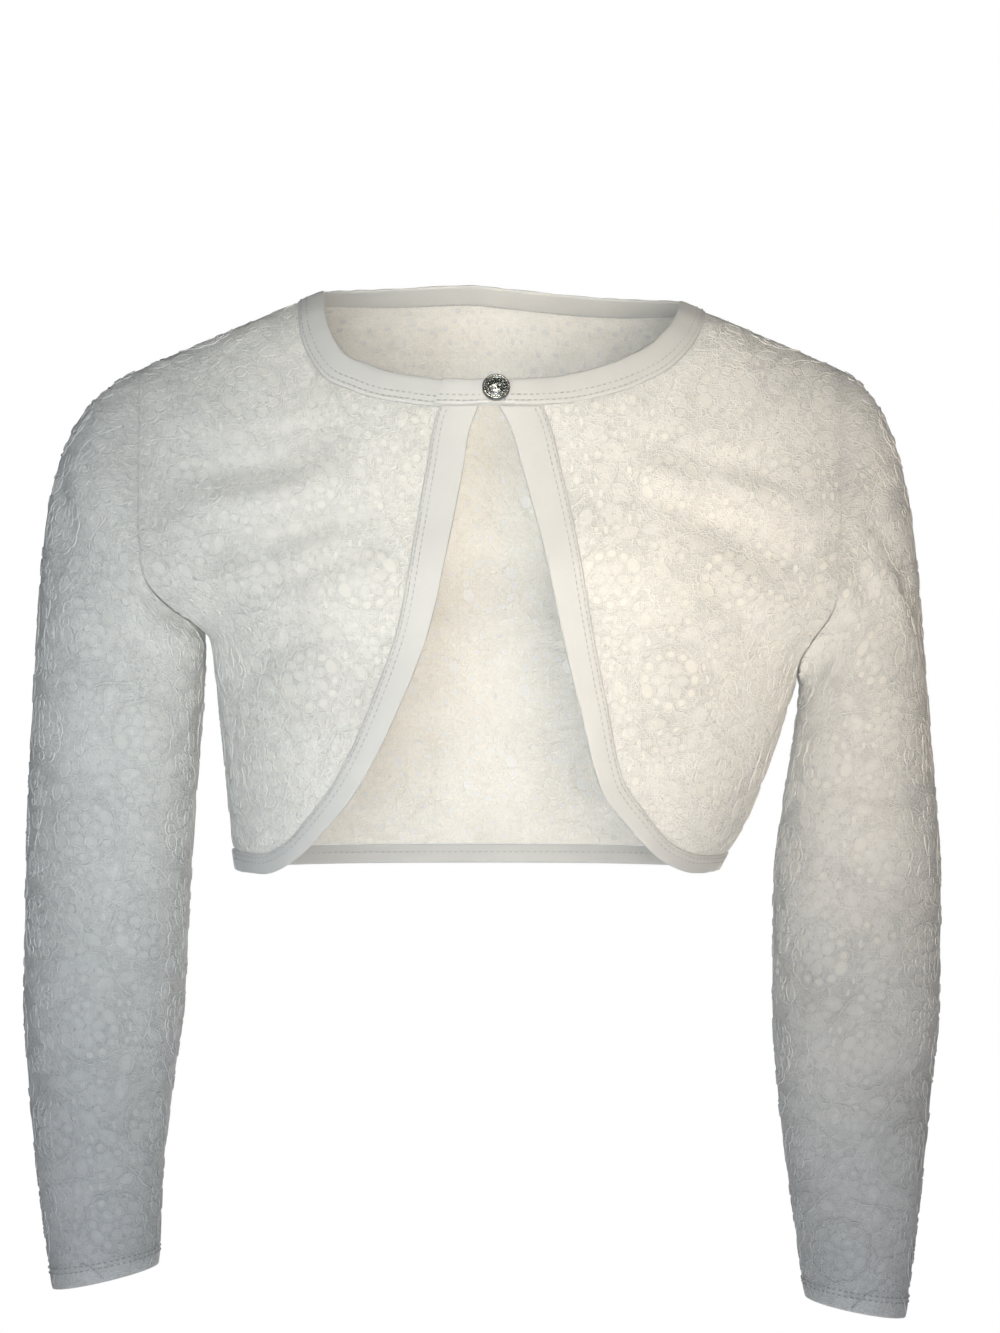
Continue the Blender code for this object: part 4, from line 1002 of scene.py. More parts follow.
class LaceDrawing:
    """Everything that is drawn in one lace piece: its patches and its cords."""

    def __init__(self, outline: Points, design: LaceDesign, plain_below: float | None = None) -> None:
        """Draw the lace of one piece.

        Args:
            outline: The piece's flat outline.
            design: The sizes of the repeat.
            plain_below: Height under which the lace is doubled for a hem, and has no eyelets.
        """
        self.outline = outline
        self.design = design
        self.plain_below = plain_below
        self.patches: list[Patch] = []
        self.cords: list[Points] = []
        cells = self._cells()
        for centre in cells:
            self._flower(centre)
        for centre in cells:
            self._vines(centre)
        self._slots()
        self.cords = self._clipped(self.cords)

    def _cells(self) -> list[Points]:
        """Return the cell centres over the outline, in step with the pattern's own zero."""
        design = self.design
        low, high = self.outline.min(axis=0) - design.beyond, self.outline.max(axis=0) + design.beyond
        cells = staggered(self.outline, design.pitch, design.row_height)
        return [cell for cell in cells if (cell > low).all() and (cell < high).all()]

    def _fits(self, loop: Points) -> bool:
        """Return whether a loop lies wholly in the piece, and above a doubled hem."""
        centre = loop.mean(axis=0)
        reach = float(np.linalg.norm(loop - centre, axis=1).max())
        if self.plain_below is not None and centre[1] - reach < self.plain_below:
            return False
        point = centre[None]
        room = reach + self.design.edge_room
        return bool(inside(point, self.outline)[0] and distance_to(point, self.outline)[0] > room)

    def _motif(self, spot: Points, angle: float, motif: Motif, corded: bool = True) -> None:
        """Draw an oval and the cord round it, where it fits.

        Args:
            spot: Its middle.
            angle: The way its length lies.
            motif: Its sizes.
            corded: Whether it has its cord.
        """
        ring = oval(spot, angle, motif.half_length, motif.half_width, motif.points)
        if motif is LARGE_EYELET:
            near = distance_to(ring, self.outline).min()
            fits = bool(inside(ring, self.outline).all() and near > self.design.large_margin)
        else:
            fits = self._fits(ring)
        if not fits:
            return
        self.patches.append(Patch(ring, motif.kind, spot[None], motif.rim_rise, motif.middle_rise))
        if corded:
            sizes = (motif.half_length + motif.room[0], motif.half_width + motif.room[1])
            self.cords.append(closed(oval(spot, angle, *sizes, motif.cord_points)))

    def _ring_angle(self, step: float | Points) -> float | Points:
        """Return the angle on a flower's ring at a step, counted in eyelets from the first large one."""
        first, second = np.radians(self.design.large_angles)
        count = self.design.eyelets
        return np.interp(step, [0.0, count / 2, count], [first, second, first + 2.0 * math.pi])

    def _flower(self, centre: Points) -> None:
        """Draw a flower: its eye, petals, ring of corded eyelets and scalloped border."""
        design = self.design
        for k in range(design.eyelets):
            angle = float(self._ring_angle(k))
            spot = centre + polar(angle, design.eyelet_reach)
            angle += math.pi / 2
            if k % (design.eyelets // 2) == 0:
                self._motif(spot, angle, LARGE_EYELET)
                continue
            swell = 0.85 + 0.3 * chance(spot, 1.0)
            sizes = {"half_length": EYELET.half_length * swell, "half_width": EYELET.half_width * swell}
            self._motif(spot, angle, EYELET._replace(**sizes), chance(spot, 2.0) > design.uncorded_share)
        turn = chance(centre, 3.0) * math.pi
        petals = 6 if chance(centre, 4.0) > design.five_petal_share else 5
        for k in range(petals):
            angle = turn + k * 2.0 * math.pi / petals
            self._motif(centre + polar(angle, design.petal_reach), angle, FLOWER_PETALS[petals])
        self._motif(centre, turn, FLOWER_EYE)
        steps = np.linspace(0.0, design.eyelets, 6 * design.eyelets + 1)
        swell = design.scallop_reach + design.scallop_swell * np.abs(np.cos(math.pi * steps)) ** 0.7
        self.cords.append(centre + polar(self._ring_angle(steps), swell))

    def _blossom_place(self, ideal: Points) -> Points:
        """Return where a small blossom stands, a little off its ideal place."""
        wander = self.design.blossom_wander * chance(ideal, 6.0)
        return ideal + polar(chance(ideal, 5.0) * 2.0 * math.pi, wander)

    def _blossom(self, ideal: Points) -> None:
        """Draw a small blossom where vines meet: round petals, and eyelets between them."""
        design = self.design
        centre = self._blossom_place(ideal)
        turn = chance(ideal, 7.0) * 2.0 * math.pi
        half_step = math.pi / design.blossom_petals
        for k in range(design.blossom_petals):
            angle = turn + k * 2.0 * half_step
            self._motif(centre + polar(angle, design.blossom_petal_reach), angle, BLOSSOM_PETAL)
            hole = centre + polar(angle + half_step, design.blossom_eyelet_reach)
            if chance(hole, 8.0) > design.blossom_bare_share:
                self._motif(hole, angle, BLOSSOM_EYELET)
        self.cords.append(closed(oval(centre, turn, 1.1, 1.1, 8)))

    def _vine(self, start: Points, end: Points) -> None:
        """Draw a vine that bends between two blossoms, with a leaf on each side."""
        design = self.design
        first, last = self._blossom_place(start), self._blossom_place(end)
        run = last - first
        heading = math.atan2(run[1], run[0])
        across = polar(heading + math.pi / 2, 1.0)
        bend = design.vine_bend if chance(start + end, 9.0) > 0.5 else -design.vine_bend
        shares = np.linspace(*design.vine_ends, 11)
        swing = np.outer(np.sin(shares * 2.0 * math.pi) * bend, across)
        self.cords.append(first + shares[:, None] * run + swing)
        middle = (first + last) / 2
        for sign in (-1.0, 1.0):
            lean = heading + (0.0 if sign > 0 else math.pi) + design.leaf_lean
            root = middle + polar(lean, design.leaf_stalk)
            length = design.leaf_length + 2.2 * chance(middle, 10.0 + sign)
            width = design.leaf_half_width + 0.6 * chance(middle, 12.0 + sign)
            rib = root + np.outer(np.array([0.3, 0.55, 0.8]) * length, polar(lean, 1.0))
            blade = leaf(root, lean, length, width, 7)
            if self._fits(blade):
                self.patches.append(Patch(blade, Kind.PETAL, rib, 0.1, 0.6))
                border = leaf(root - polar(lean, 0.5), lean, length + 1.2, width + 0.45, 9)
                self.cords += [closed(border), np.concatenate((middle[None], root[None], rib))]

    def _vines(self, centre: Points) -> None:
        """Draw the two blossoms of a cell and the three vines that leave the upper one."""
        half, third = self.design.pitch / 2, self.design.row_height / 3
        upper = centre + [half, third]
        self._blossom(upper)
        self._blossom(centre + [half, -third])
        for step in ((0.0, -2.0 * third), (half, third), (-half, third)):
            self._vine(upper, upper + step)

    def _slots(self) -> None:
        """Fill the free ground with rows of small upright eyelets, in drifts."""
        design = self.design
        spots = staggered(self.outline, *design.slot_spacing)
        spots = spots[inside(spots, self.outline)]
        room = design.slot_half_length + design.edge_room
        spots = spots[distance_to(spots, self.outline) > room]
        if self.plain_below is not None:
            spots = spots[spots[:, 1] - room > self.plain_below]
        drift = np.sin(0.047 * spots[:, 0] + 1.1) * np.sin(0.061 * spots[:, 1] + 0.4 + 0.02 * spots[:, 0])
        spots = spots[drift > design.least_drift]
        taken = tree_of(np.concatenate(self.cords + [patch.loop for patch in self.patches]))
        for spot in spots:
            swell = 0.75 + 0.4 * chance(spot, 14.0)
            half_width = design.slot_half_width * (0.85 + 0.4 * chance(spot, 15.0))
            half_length = design.slot_half_length * swell
            ends = [spot + [0.0, reach] for reach in (-0.7 * half_length, 0.0, 0.7 * half_length)]
            if min(distance_in(taken, end) for end in ends) < half_width + design.slot_room:
                continue
            lean = math.pi / 2 + 0.3 * (chance(spot, 16.0) - 0.5)
            slot = oval(spot, lean, half_length, half_width, 8)
            self.patches.append(Patch(slot, Kind.NET, spot[None], 0.05, -0.35))

    def _clipped(self, cords: list[Points]) -> list[Points]:
        """Return the parts of the cords that lie in the piece."""
        points = np.concatenate(cords)
        kept = inside(points, self.outline) & (distance_to(points, self.outline) > self.design.cord_edge_room)
        runs, first = [], 0
        for cord in cords:
            own = kept[first:first + len(cord)]
            first += len(cord)
            changes = np.flatnonzero(np.diff(np.concatenate(([0], own.astype(int), [0]))))
            for start, end in zip(changes[::2], changes[1::2]):
                if end - start >= 3:
                    runs.append(cord[start:end])
        return runs


@dataclass
class Cloth:
    """A piece of lace as a thin wall: its net of triangles and what each one is made of."""

    drawing: LaceDrawing
    spacing: float = 4.4
    wall: float = 0.8
    seam_roll: float = 0.35
    pucker_height: float = 0.22
    patch_room: float = 1.5
    fold_room: float = 16.0
    pucker_room: tuple[float, float] = (0.5, 5.0)
    roll_room: float = 2.6
    hem_rise: float = 0.45
    hem_step: float = 0.6

    def triangles(self) -> tuple[Points, Points, Faces, list[int]]:
        """Divide the flat piece into triangles.

        Returns:
            The flat points, how far each stands out, the triangles, and the material of each.
        """
        drawing = self.drawing
        outline = anticlockwise(drawing.outline)
        points = [outline]
        rises = [np.zeros(len(outline))]
        loops = [list(range(len(outline)))]
        count = len(outline)
        kinds = {0: Kind.GROUND}
        for patch in drawing.patches:
            kinds[len(loops)] = patch.kind
            loops.append(list(range(count, count + len(patch.loop))))
            points.append(anticlockwise(patch.loop))
            rises.append(np.full(len(patch.loop), patch.rim_rise))
            count += len(patch.loop)
        fixed = np.concatenate(points)
        for patch in drawing.patches:
            points.append(patch.middle)
            rises.append(np.full(len(patch.middle), patch.middle_rise))
        ground = self._ground(outline, fixed)
        points.append(ground)
        rises.append(np.zeros(len(ground)))
        every = np.concatenate(points)
        rise = np.concatenate(rises)
        found = delaunay_2d_cdt([Vector(point) for point in every], [], loops, 1, 1e-6, True)
        flat = np.array([tuple(point) for point in found[0]])
        heights = np.array([rise[origins[0]] if origins else 0.0 for origins in found[3]])
        corners, fillings = [], []
        for face, owners in zip(found[2], found[5]):
            if 0 not in owners:
                continue
            corners.append(tuple(face))
            fillings.append(kinds[max(owners)].value)
        return flat, heights, corners, fillings

    def _ground(self, outline: Points, fixed: Points) -> Points:
        """Return the points that fill the ground between the patches."""
        spots = staggered(outline, self.spacing, self.spacing * math.sqrt(3.0) / 2.0)
        spots = spots[inside(spots, outline)]
        spots = spots[distance_to(spots, outline) > 0.4 * self.spacing]
        taken = tree_of(fixed)
        free = [distance_in(taken, spot) > self.patch_room for spot in spots]
        return spots[np.array(free)]


@dataclass(frozen=True)
class Finish:
    """Sizes and tones of one yarn or metal finish.

    The glow is the share of light that passes through the cloth, and the tracery says how clearly fine
    threads cross it, in relief and with a painted highlight. Ribs, relief and pores are in millimetres.
    """

    name: str
    light: Triple
    dark: Triple
    roughness: float
    sheen: float
    rib_pitch: float
    rib_height: float
    pore_pitch: float = 0.0
    pore_thread: float = 0.0
    metallic: float = 0.0
    glow: float = 0.7
    tracery: float = 0.0


LACE_GROUND = Finish("lace_ground", (0.84, 0.84, 0.825), (0.52, 0.53, 0.53), 0.72, 0.25, 0.85, 0.10,
                     tracery=1.0)
# The net's tones are kept lighter than the ground's: painted light for the bright see-through of the eyelets,
# over its real open pores
LACE_NET_PAINTED_LIGHT = Finish("lace_net_painted_light", (0.84, 0.84, 0.82), (0.74, 0.74, 0.72), 0.60, 0.20, 0.60, 0.05,
                  pore_pitch=0.62, pore_thread=0.22, glow=0.2)
LACE_PETAL = Finish("lace_petal", (0.84, 0.84, 0.82), (0.64, 0.645, 0.64), 0.52, 0.30, 0.55, 0.12,
                    tracery=0.4)
# Inner faces are painted a brighter, warmer cream than the outside: painted light for the lit inside seen
# through the eyelets
LACE_INNER_PAINTED_LIGHT = Finish("lace_inner_painted_light", (0.97, 0.955, 0.90), (0.80, 0.78, 0.72), 0.75, 0.25, 0.85, 0.10,
                     tracery=0.8)
SATIN_CORD = Finish("satin_cord", (0.80, 0.80, 0.785), (0.66, 0.665, 0.66), 0.38, 0.35, 0.45, 0.10,
                    glow=0.0)
BAND_JERSEY = Finish("band_jersey", (0.60, 0.605, 0.605), (0.52, 0.53, 0.535), 0.62, 0.30, 0.75, 0.09,
                     glow=0.0)
SEWING_THREAD = Finish("sewing_thread", (0.52, 0.53, 0.54), (0.36, 0.37, 0.38), 0.45, 0.20, 0.35, 0.08,
                       glow=0.0)
BUTTON_METAL = Finish("button_metal", (0.40, 0.43, 0.43), (0.05, 0.045, 0.04), 0.24, 0.0, 1.3, 0.03,
                      metallic=1.0, glow=0.0)

# Wave scale at which a band of the wave texture is one millimetre wide
RIB_TURN = 0.314


class Dyer:
    """Makes the materials of the garment from its finishes."""

    def __init__(self) -> None:
        """Make the shader groups that the materials share."""
        self.yarn = self._yarn_group()
        self.pores = self._pore_group()
        self.made: dict[str, Material] = {}

    @staticmethod
    def _group(name: str, takes: dict[str, str], gives: dict[str, str]) -> Tree:
        """Return an empty shader group with named inputs and outputs."""
        group = bpy.data.node_groups.new(name, "ShaderNodeTree")
        for label, kind in takes.items():
            group.interface.new_socket(label, in_out="INPUT", socket_type=kind)
        for label, kind in gives.items():
            group.interface.new_socket(label, in_out="OUTPUT", socket_type=kind)
        return group

    @staticmethod
    def _fill(tree: Tree, node: bpy.types.Node, inputs: dict[str | int, object]) -> None:
        """Give a node's inputs their values, or link them to sockets."""
        for label, value in inputs.items():
            if isinstance(value, Socket):
                tree.links.new(value, node.inputs[label])
            else:
                node.inputs[label].default_value = value

    def _node(self, tree: Tree, kind: str, inputs: dict[str | int, object]) -> bpy.types.Node:
        """Add a node of a kind to a shader tree, with its inputs filled."""
        node = tree.nodes.new("ShaderNode" + kind)
        self._fill(tree, node, inputs)
        return node

    def _math(self, tree: Tree, operation: str, *values: object) -> Socket:
        """Add a maths node and return its output; each value is a socket or a number."""
        node = self._node(tree, "Math", dict(enumerate(values)))
        node.operation = operation
        return node.outputs[0]

    def _yarn_group(self) -> Tree:
        """Knitted or twisted yarn: ribs, loose fibre, slow changes of tone, painted shade in low weave,
        painted highlight on threads.
        """
        value, vector, colour = "NodeSocketFloat", "NodeSocketVector", "NodeSocketColor"
        takes = {"Place": vector, "Body": vector, "Rib Scale": value, "Tracery": value, "Light": colour,
                 "Dark": colour, "Roughness": value}
        group = self._group("yarn", takes, {"Colour": colour, "Height": value, "Roughness": value})
        given = group.nodes.new("NodeGroupInput").outputs
        place, size = given["Place"], given["Rib Scale"]
        rib = self._node(group, "TexWave", {"Vector": place, "Scale": size, "Distortion": 1.6, "Detail": 2.0,
                                            "Detail Scale": 1.4})
        rib.bands_direction = "X"
        course = self._node(group, "TexWave", {"Vector": place, "Scale": size, "Distortion": 2.4,
                                               "Detail": 2.0})
        course.bands_direction = "Y"
        fibre = self._node(group, "TexNoise", {"Vector": place, "Scale": 2.6, "Detail": 4.0}).outputs["Fac"]
        tone = self._node(group, "TexNoise", {"Vector": given["Body"], "Scale": 22.0, "Detail": 3.0})
        weave = self._math(group, "MULTIPLY", rib.outputs["Fac"], course.outputs["Fac"])
        fuzz = self._math(group, "MULTIPLY", fibre, 0.6)
        thread, cell = self._tracery(group, place)
        raised = self._math(group, "MULTIPLY", thread, given["Tracery"])
        height = self._math(group, "MULTIPLY_ADD", raised, 5.0, self._math(group, "ADD", weave, fuzz))
        slow = self._math(group, "MULTIPLY_ADD", tone.outputs["Fac"], 1.5, -0.35)
        patchy = self._math(group, "MULTIPLY_ADD", cell, 0.34, -0.19)
        # Raised threads are painted lighter, a painted highlight that follows their relief; the cell tone is
        # random
        pattern = self._math(group, "MULTIPLY_ADD", thread, 0.30, patchy)
        tone_and_painted_highlight = self._math(group, "MULTIPLY_ADD", pattern, given["Tracery"], slow)
        # The low parts of the weave are painted darker, painted shade that follows the rib relief, over the
        # random tone
        painted_shade_and_tone = self._math(group, "MULTIPLY_ADD", weave, 0.35, tone_and_painted_highlight)
        painted_shade_and_tone.node.use_clamp = True
        mix = group.nodes.new("ShaderNodeMix")
        mix.data_type = "RGBA"
        self._fill(group, mix, {"Factor": painted_shade_and_tone, 6: given["Dark"], 7: given["Light"]})
        rough = self._math(group, "MULTIPLY_ADD", fibre, 0.25, -0.12)
        rough = self._math(group, "ADD", rough, given["Roughness"])
        out = group.nodes.new("NodeGroupOutput")
        self._fill(group, out, {"Colour": mix.outputs[2], "Height": height, "Roughness": rough})
        return group

    def _tracery(self, group: Tree, place: Socket) -> tuple[Socket, Socket]:
        """Add the fine threads that cross the lace ground.

        Args:
            group: The shader group that they are added to.
            place: Its flat place in millimetres.

        Returns:
            1 on a thread and 0 between threads, and a tone for each cell between them.
        """
        wander = self._node(group, "TexNoise", {"Vector": place, "Scale": 0.35, "Detail": 2.0})
        moved = self._node(group, "VectorMath", {0: wander.outputs["Color"], 1: (3.4, 3.4, 0.0), 2: place})
        moved.operation = "MULTIPLY_ADD"
        found = []
        for feature in ("DISTANCE_TO_EDGE", "F1"):
            cells = self._node(group, "TexVoronoi", {"Scale": 0.40})
            cells.voronoi_dimensions = "2D"
            cells.feature = feature
            self._fill(group, cells, {"Vector": moved.outputs["Vector"]})
            found.append(cells)
        near = self._math(group, "MULTIPLY_ADD", found[0].outputs["Distance"], -7.0, 1.25)
        near.node.use_clamp = True
        parts = self._node(group, "SeparateColor", {"Color": found[1].outputs["Color"]})
        return near, parts.outputs["Red"]

    def _pore_group(self) -> Tree:
        """Sheer net: 1 on its threads and 0 in its pores."""
        takes = {"Place": "NodeSocketVector", "Scale": "NodeSocketFloat", "Thread": "NodeSocketFloat"}
        group = self._group("pores", takes, {"Alpha": "NodeSocketFloat"})
        given = group.nodes.new("NodeGroupInput").outputs
        cells = self._node(group, "TexVoronoi", {"Randomness": 0.45})
        cells.voronoi_dimensions = "2D"
        cells.feature = "DISTANCE_TO_EDGE"
        self._fill(group, cells, {"Vector": given["Place"], "Scale": given["Scale"]})
        on_thread = self._math(group, "LESS_THAN", cells.outputs["Distance"], given["Thread"])
        self._fill(group, group.nodes.new("NodeGroupOutput"), {"Alpha": on_thread})
        return group

    def material(self, finish: Finish) -> Material:
        """Return the material of a finish, made once."""
        if finish.name in self.made:
            return self.made[finish.name]
        material = bpy.data.materials.new(finish.name)
        material.use_nodes = True
        tree = material.node_tree
        body = self._node(tree, "TexCoord", {}).outputs["Object"]
        if finish.metallic > 0.0:
            scaled = self._node(tree, "Mapping", {"Vector": body, "Scale": (1.0 / METRES,) * 3})
        else:
            flat = self._node(tree, "UVMap", {})
            flat.uv_map = "flat"
            sizes = {"Vector": flat.outputs["UV"], "Scale": (UV_STEP, UV_STEP, 1.0)}
            scaled = self._node(tree, "Mapping", sizes)
        place = scaled.outputs["Vector"]
        yarn = self._node(tree, "Group", {})
        yarn.node_tree = self.yarn
        self._fill(tree, yarn, {
            "Place": place, "Body": body, "Rib Scale": RIB_TURN / finish.rib_pitch, "Tracery": finish.tracery,
            "Light": (*finish.light, 1.0), "Dark": (*finish.dark, 1.0), "Roughness": finish.roughness})
        relief = {"Strength": 0.7, "Distance": finish.rib_height * METRES, "Height": yarn.outputs["Height"]}
        bump = self._node(tree, "Bump", relief)
        shader = tree.nodes["Principled BSDF"]
        self._fill(tree, shader, {
            "Metallic": finish.metallic, "Sheen Weight": finish.sheen, "Sheen Roughness": 0.4,
            "Subsurface Weight": finish.glow, "Subsurface Radius": (1.0, 1.0, 1.0),
            "Subsurface Scale": 0.004, "Base Color": yarn.outputs["Colour"],
            "Roughness": yarn.outputs["Roughness"], "Normal": bump.outputs["Normal"]})
        if finish.pore_pitch > 0.0:
            pores = self._node(tree, "Group", {})
            pores.node_tree = self.pores
            self._fill(tree, pores, {"Place": place, "Scale": 1.0 / finish.pore_pitch,
                                     "Thread": finish.pore_thread})
            self._fill(tree, shader, {"Alpha": pores.outputs["Alpha"]})
        self.made[finish.name] = material
        return material


def mesh_object(name: str, points: Points, faces: Faces, flat: Points, materials: list[Material],
                fillings: list[int] | None = None, sharp: float = 60.0) -> Piece:
    """Make an object from points in millimetres, with its flat pattern as its UV map.

    Args:
        name: The object's name.
        points: Its points in millimetres.
        faces: Its faces, as rows of point numbers.
        flat: Flat places of the points in millimetres.
        materials: Its materials.
        fillings: The material of each face.
        sharp: Angle in degrees over which an edge is left sharp.

    Returns:
        The new object, with its place in its mesh.
    """
    mesh = bpy.data.meshes.new(name)
    mesh.from_pydata((points * METRES).tolist(), [], faces)
    for material in materials:
        mesh.materials.append(material)
    if fillings is not None:
        mesh.polygons.foreach_set("material_index", fillings)
    layer = mesh.uv_layers.new(name="flat")
    corner = np.empty(len(mesh.loops), dtype=np.int32)
    mesh.loops.foreach_get("vertex_index", corner)
    layer.data.foreach_set("uv", (flat[corner] / UV_STEP).ravel())
    mesh.shade_smooth()
    mesh.set_sharp_from_angle(angle=math.radians(sharp))
    piece = bpy.data.objects.new(name, mesh)
    bpy.context.scene.collection.objects.link(piece)
    return piece


@dataclass
class Loom:
    """Makes the lace pieces and their cords."""

    pattern: Pattern
    dyer: Dyer
    design: LaceDesign = field(default_factory=LaceDesign)
    cord_radius: float = 0.42
    cord_height: float = 0.5
    cord_depth: float = 0.12
    cuff_hem: float = 10.0

    def weave(self, name: str, outline: Points, place: Chart, outward: int,
              plain_below: float | None = None) -> tuple[Piece, Piece]:
        """Make one lace piece and the cords on it.

        Args:
            name: The CAD node that it stands for.
            outline: Its flat outline.
            place: Puts flat points on the cloth surface.
            outward: Sign that turns the surface's own normal outwards.
            plain_below: Height of the flat pattern under which the lace is a doubled hem.

        Returns:
            The lace and its cords.
        """
        drawing = LaceDrawing(outline, self.design, plain_below)
        cloth = Cloth(drawing)
        flat, heights, corners, fillings = cloth.triangles()
        outer, normals = self._surface(name, cloth, flat, heights, place, outward)
        if outward < 0:
            corners = [corner[::-1] for corner in corners]
        count = len(outer)
        sides = {(face[k], face[(k + 1) % 3]) for face in corners for k in range(3)}
        rims = [(b, a, count + a, count + b) for a, b in sorted(sides) if (b, a) not in sides]
        faces = corners + [tuple(count + i for i in reversed(face)) for face in corners] + rims
        # The inner skin takes the painted-light inner finish, brighter than the outside; nets keep their own
        # finish so their pores stay open
        inner_fillings_painted_light = [Kind.INSIDE.value if filling != Kind.NET.value else filling for filling in fillings]
        fillings = fillings + inner_fillings_painted_light + [Kind.GROUND.value] * len(rims)
        wall = outer - normals * (cloth.wall + 0.5 * np.clip(heights, 0.0, None))[:, None]
        finishes = [self.dyer.material(finish) for finish in (LACE_GROUND, LACE_NET_PAINTED_LIGHT, LACE_PETAL, LACE_INNER_PAINTED_LIGHT)]
        points = np.concatenate((outer, wall))
        lace = mesh_object("lace_" + name, points, faces, np.concatenate((flat, flat)), finishes, fillings)
        cords = self._cords(name, cloth, drawing.cords, place, outward)
        LOG.info("%s: %d patches, %d cords", name, len(drawing.patches), len(drawing.cords))
        return lace, cords

    def _surface(self, name: str, cloth: Cloth, flat: Points, heights: Points, place: Chart,
                 outward: int) -> tuple[Points, Points]:
        """Return the outer skin's points and normals."""
        edge = distance_to(flat, cloth.drawing.outline)
        push = heights - fold_depth(name, flat) * smoothstep(edge, 0.0, cloth.fold_room)
        push += cloth.pucker_height * pucker(flat) * smoothstep(edge, *cloth.pucker_room)
        push -= cloth.seam_roll * (1.0 - smoothstep(edge, 0.0, cloth.roll_room))
        plain = cloth.drawing.plain_below
        if plain is not None:
            doubled = 1.0 - smoothstep(flat[:, 1], plain - cloth.hem_step, plain + cloth.hem_step)
            push += cloth.hem_rise * doubled
        normals = normals_at(place, flat, outward)
        return place(flat) + normals * push[:, None], normals

    def _cords(self, name: str, cloth: Cloth, cords: list[Points], place: Chart, outward: int) -> Piece:
        """Make the cords as low round ridges along their lines."""
        flat = np.concatenate(cords)
        centre, normals = self._surface(name, cloth, flat, np.zeros(len(flat)), place, outward)
        points, faces, first = [], [], 0
        for cord in cords:
            own = slice(first, first + len(cord))
            first += len(cord)
            points.append(self._ridge(cord, centre[own], normals[own]))
            faces += ridge_faces(len(cord), first - len(cord), bool(np.allclose(cord[0], cord[-1])))
        beside = np.outer((-1.0, 0.0, 1.0), (0.4, 0.0))
        flats = np.repeat(flat, 3, axis=0) + np.tile(beside, (len(flat), 1))
        points = np.concatenate(points)
        material = self.dyer.material(SATIN_CORD)
        faces = outward_faces(points, faces)
        return mesh_object("cords_" + name, points, faces, flats, [material], sharp=180.0)

    def _ridge(self, cord: Points, centre: Points, normals: Points) -> Points:
        """Return three points round each point of one cord."""
        run = np.gradient(centre, axis=0)
        if np.allclose(cord[0], cord[-1]):
            run[0] = run[-1] = centre[1] - centre[-2]
        beside = unit(np.cross(normals, run)) * self.cord_radius
        low = centre - normals * self.cord_depth
        rows = np.stack((low - beside, centre + normals * self.cord_height, low + beside), axis=1)
        return rows.reshape(-1, 3)


def ridge_faces(count: int, first: int, is_ring: bool) -> Faces:
    """Return the faces of a ridge of three-point rows.

    Args:
        count: How many rows it has.
        first: Number of its first row.
        is_ring: Whether its last row stands on its first, as in a ring.

    Returns:
        The faces, closed at both ends or all round.
    """
    start, end = 3 * first, 3 * (first + count - 1)
    faces = ring_faces(count - 1, 3, start, is_ring)
    return faces if is_ring else faces + [(start + 2, start + 1, start), (end, end + 1, end + 2)]


@dataclass
class Strip:
    """A folded jersey strip: a chart of distance along it and share across it."""

    name: str
    place: Callable[[Points, Points], Points]
    lift: Chart
    starts: Chart
    ends: Chart
    width: Chart
    facing: Triple
    stitch_rows: tuple[float, ...]
    stations: int = 220
    half_wall: float = 1.0
    ring: int = 16
    flatness: tuple[float, float] = (0.45, 0.6)
    ripple: float = 0.16
    groove_depth: float = 0.22
    groove_width: float = 0.7

    def rows(self, share: Points, count: int) -> Points:
        """Return distances along the strip at each share across it, one row to a station."""
        steps = np.linspace(0.0, 1.0, count)[:, None]
        return self.starts(share) * (1.0 - steps) + self.ends(share) * steps

    def skin(self, along: Points, share: Points, height: Points) -> Points:
        """Return points at a height over the strip's surface."""
        centre = self.place(along, share)
        return centre + self.normal(along, share) * (self.lift(along) + height)[..., None]

    def normal(self, along: Points, share: Points) -> Points:
        """Return outward normals of the strip's surface."""
        step = 0.5
        ahead = self.place(along + step, share) - self.place(along - step, share)
        over = self.place(along, share + 0.04) - self.place(along, share - 0.04)
        normal = unit(np.cross(ahead, over))
        first = normal.reshape(-1, 3)[0]
        return normal * (1.0 if float(np.dot(first, self.facing)) > 0.0 else -1.0)

    def row_line(self, row: float, count: int = 900) -> tuple[Points, Points]:
        """Return points and normals along a row of stitches, by its distance from the lace."""
        along = self.rows(np.array([0.85]), count)[:, 0]
        share = 1.0 - row / self.width(along)
        return self.skin(along, share, np.zeros(count)), self.normal(along, share)

    def build(self, material: Material) -> Piece:
        """Make the strip as a flat oval tube with closed ends."""
        turns = np.arange(self.ring) * 2.0 * math.pi / self.ring + math.pi / self.ring
        across, up = self.flatness
        share = 0.5 - 0.5 * np.sign(np.cos(turns)) * np.abs(np.cos(turns)) ** across
        height = self.half_wall * (np.sign(np.sin(turns)) * np.abs(np.sin(turns)) ** up - 1.0)
        along = self.rows(share, self.stations)
        share = np.broadcast_to(share, along.shape)
        outer = height > -self.half_wall
        wave = self.ripple * np.sin(along * 0.33 + 1.4 * np.sin(along * 0.09)) * outer
        groove = np.zeros_like(along)
        for row in self.stitch_rows:
            away = (1.0 - share) * self.width(along) - row
            groove -= self.groove_depth * np.exp(-(away / self.groove_width) ** 2) * outer
        points = self.skin(along, share, np.broadcast_to(height, along.shape) + wave + groove)
        flat = np.stack((share * self.width(along), along), axis=-1)
        return tube_object(self.name, points, flat, [material])


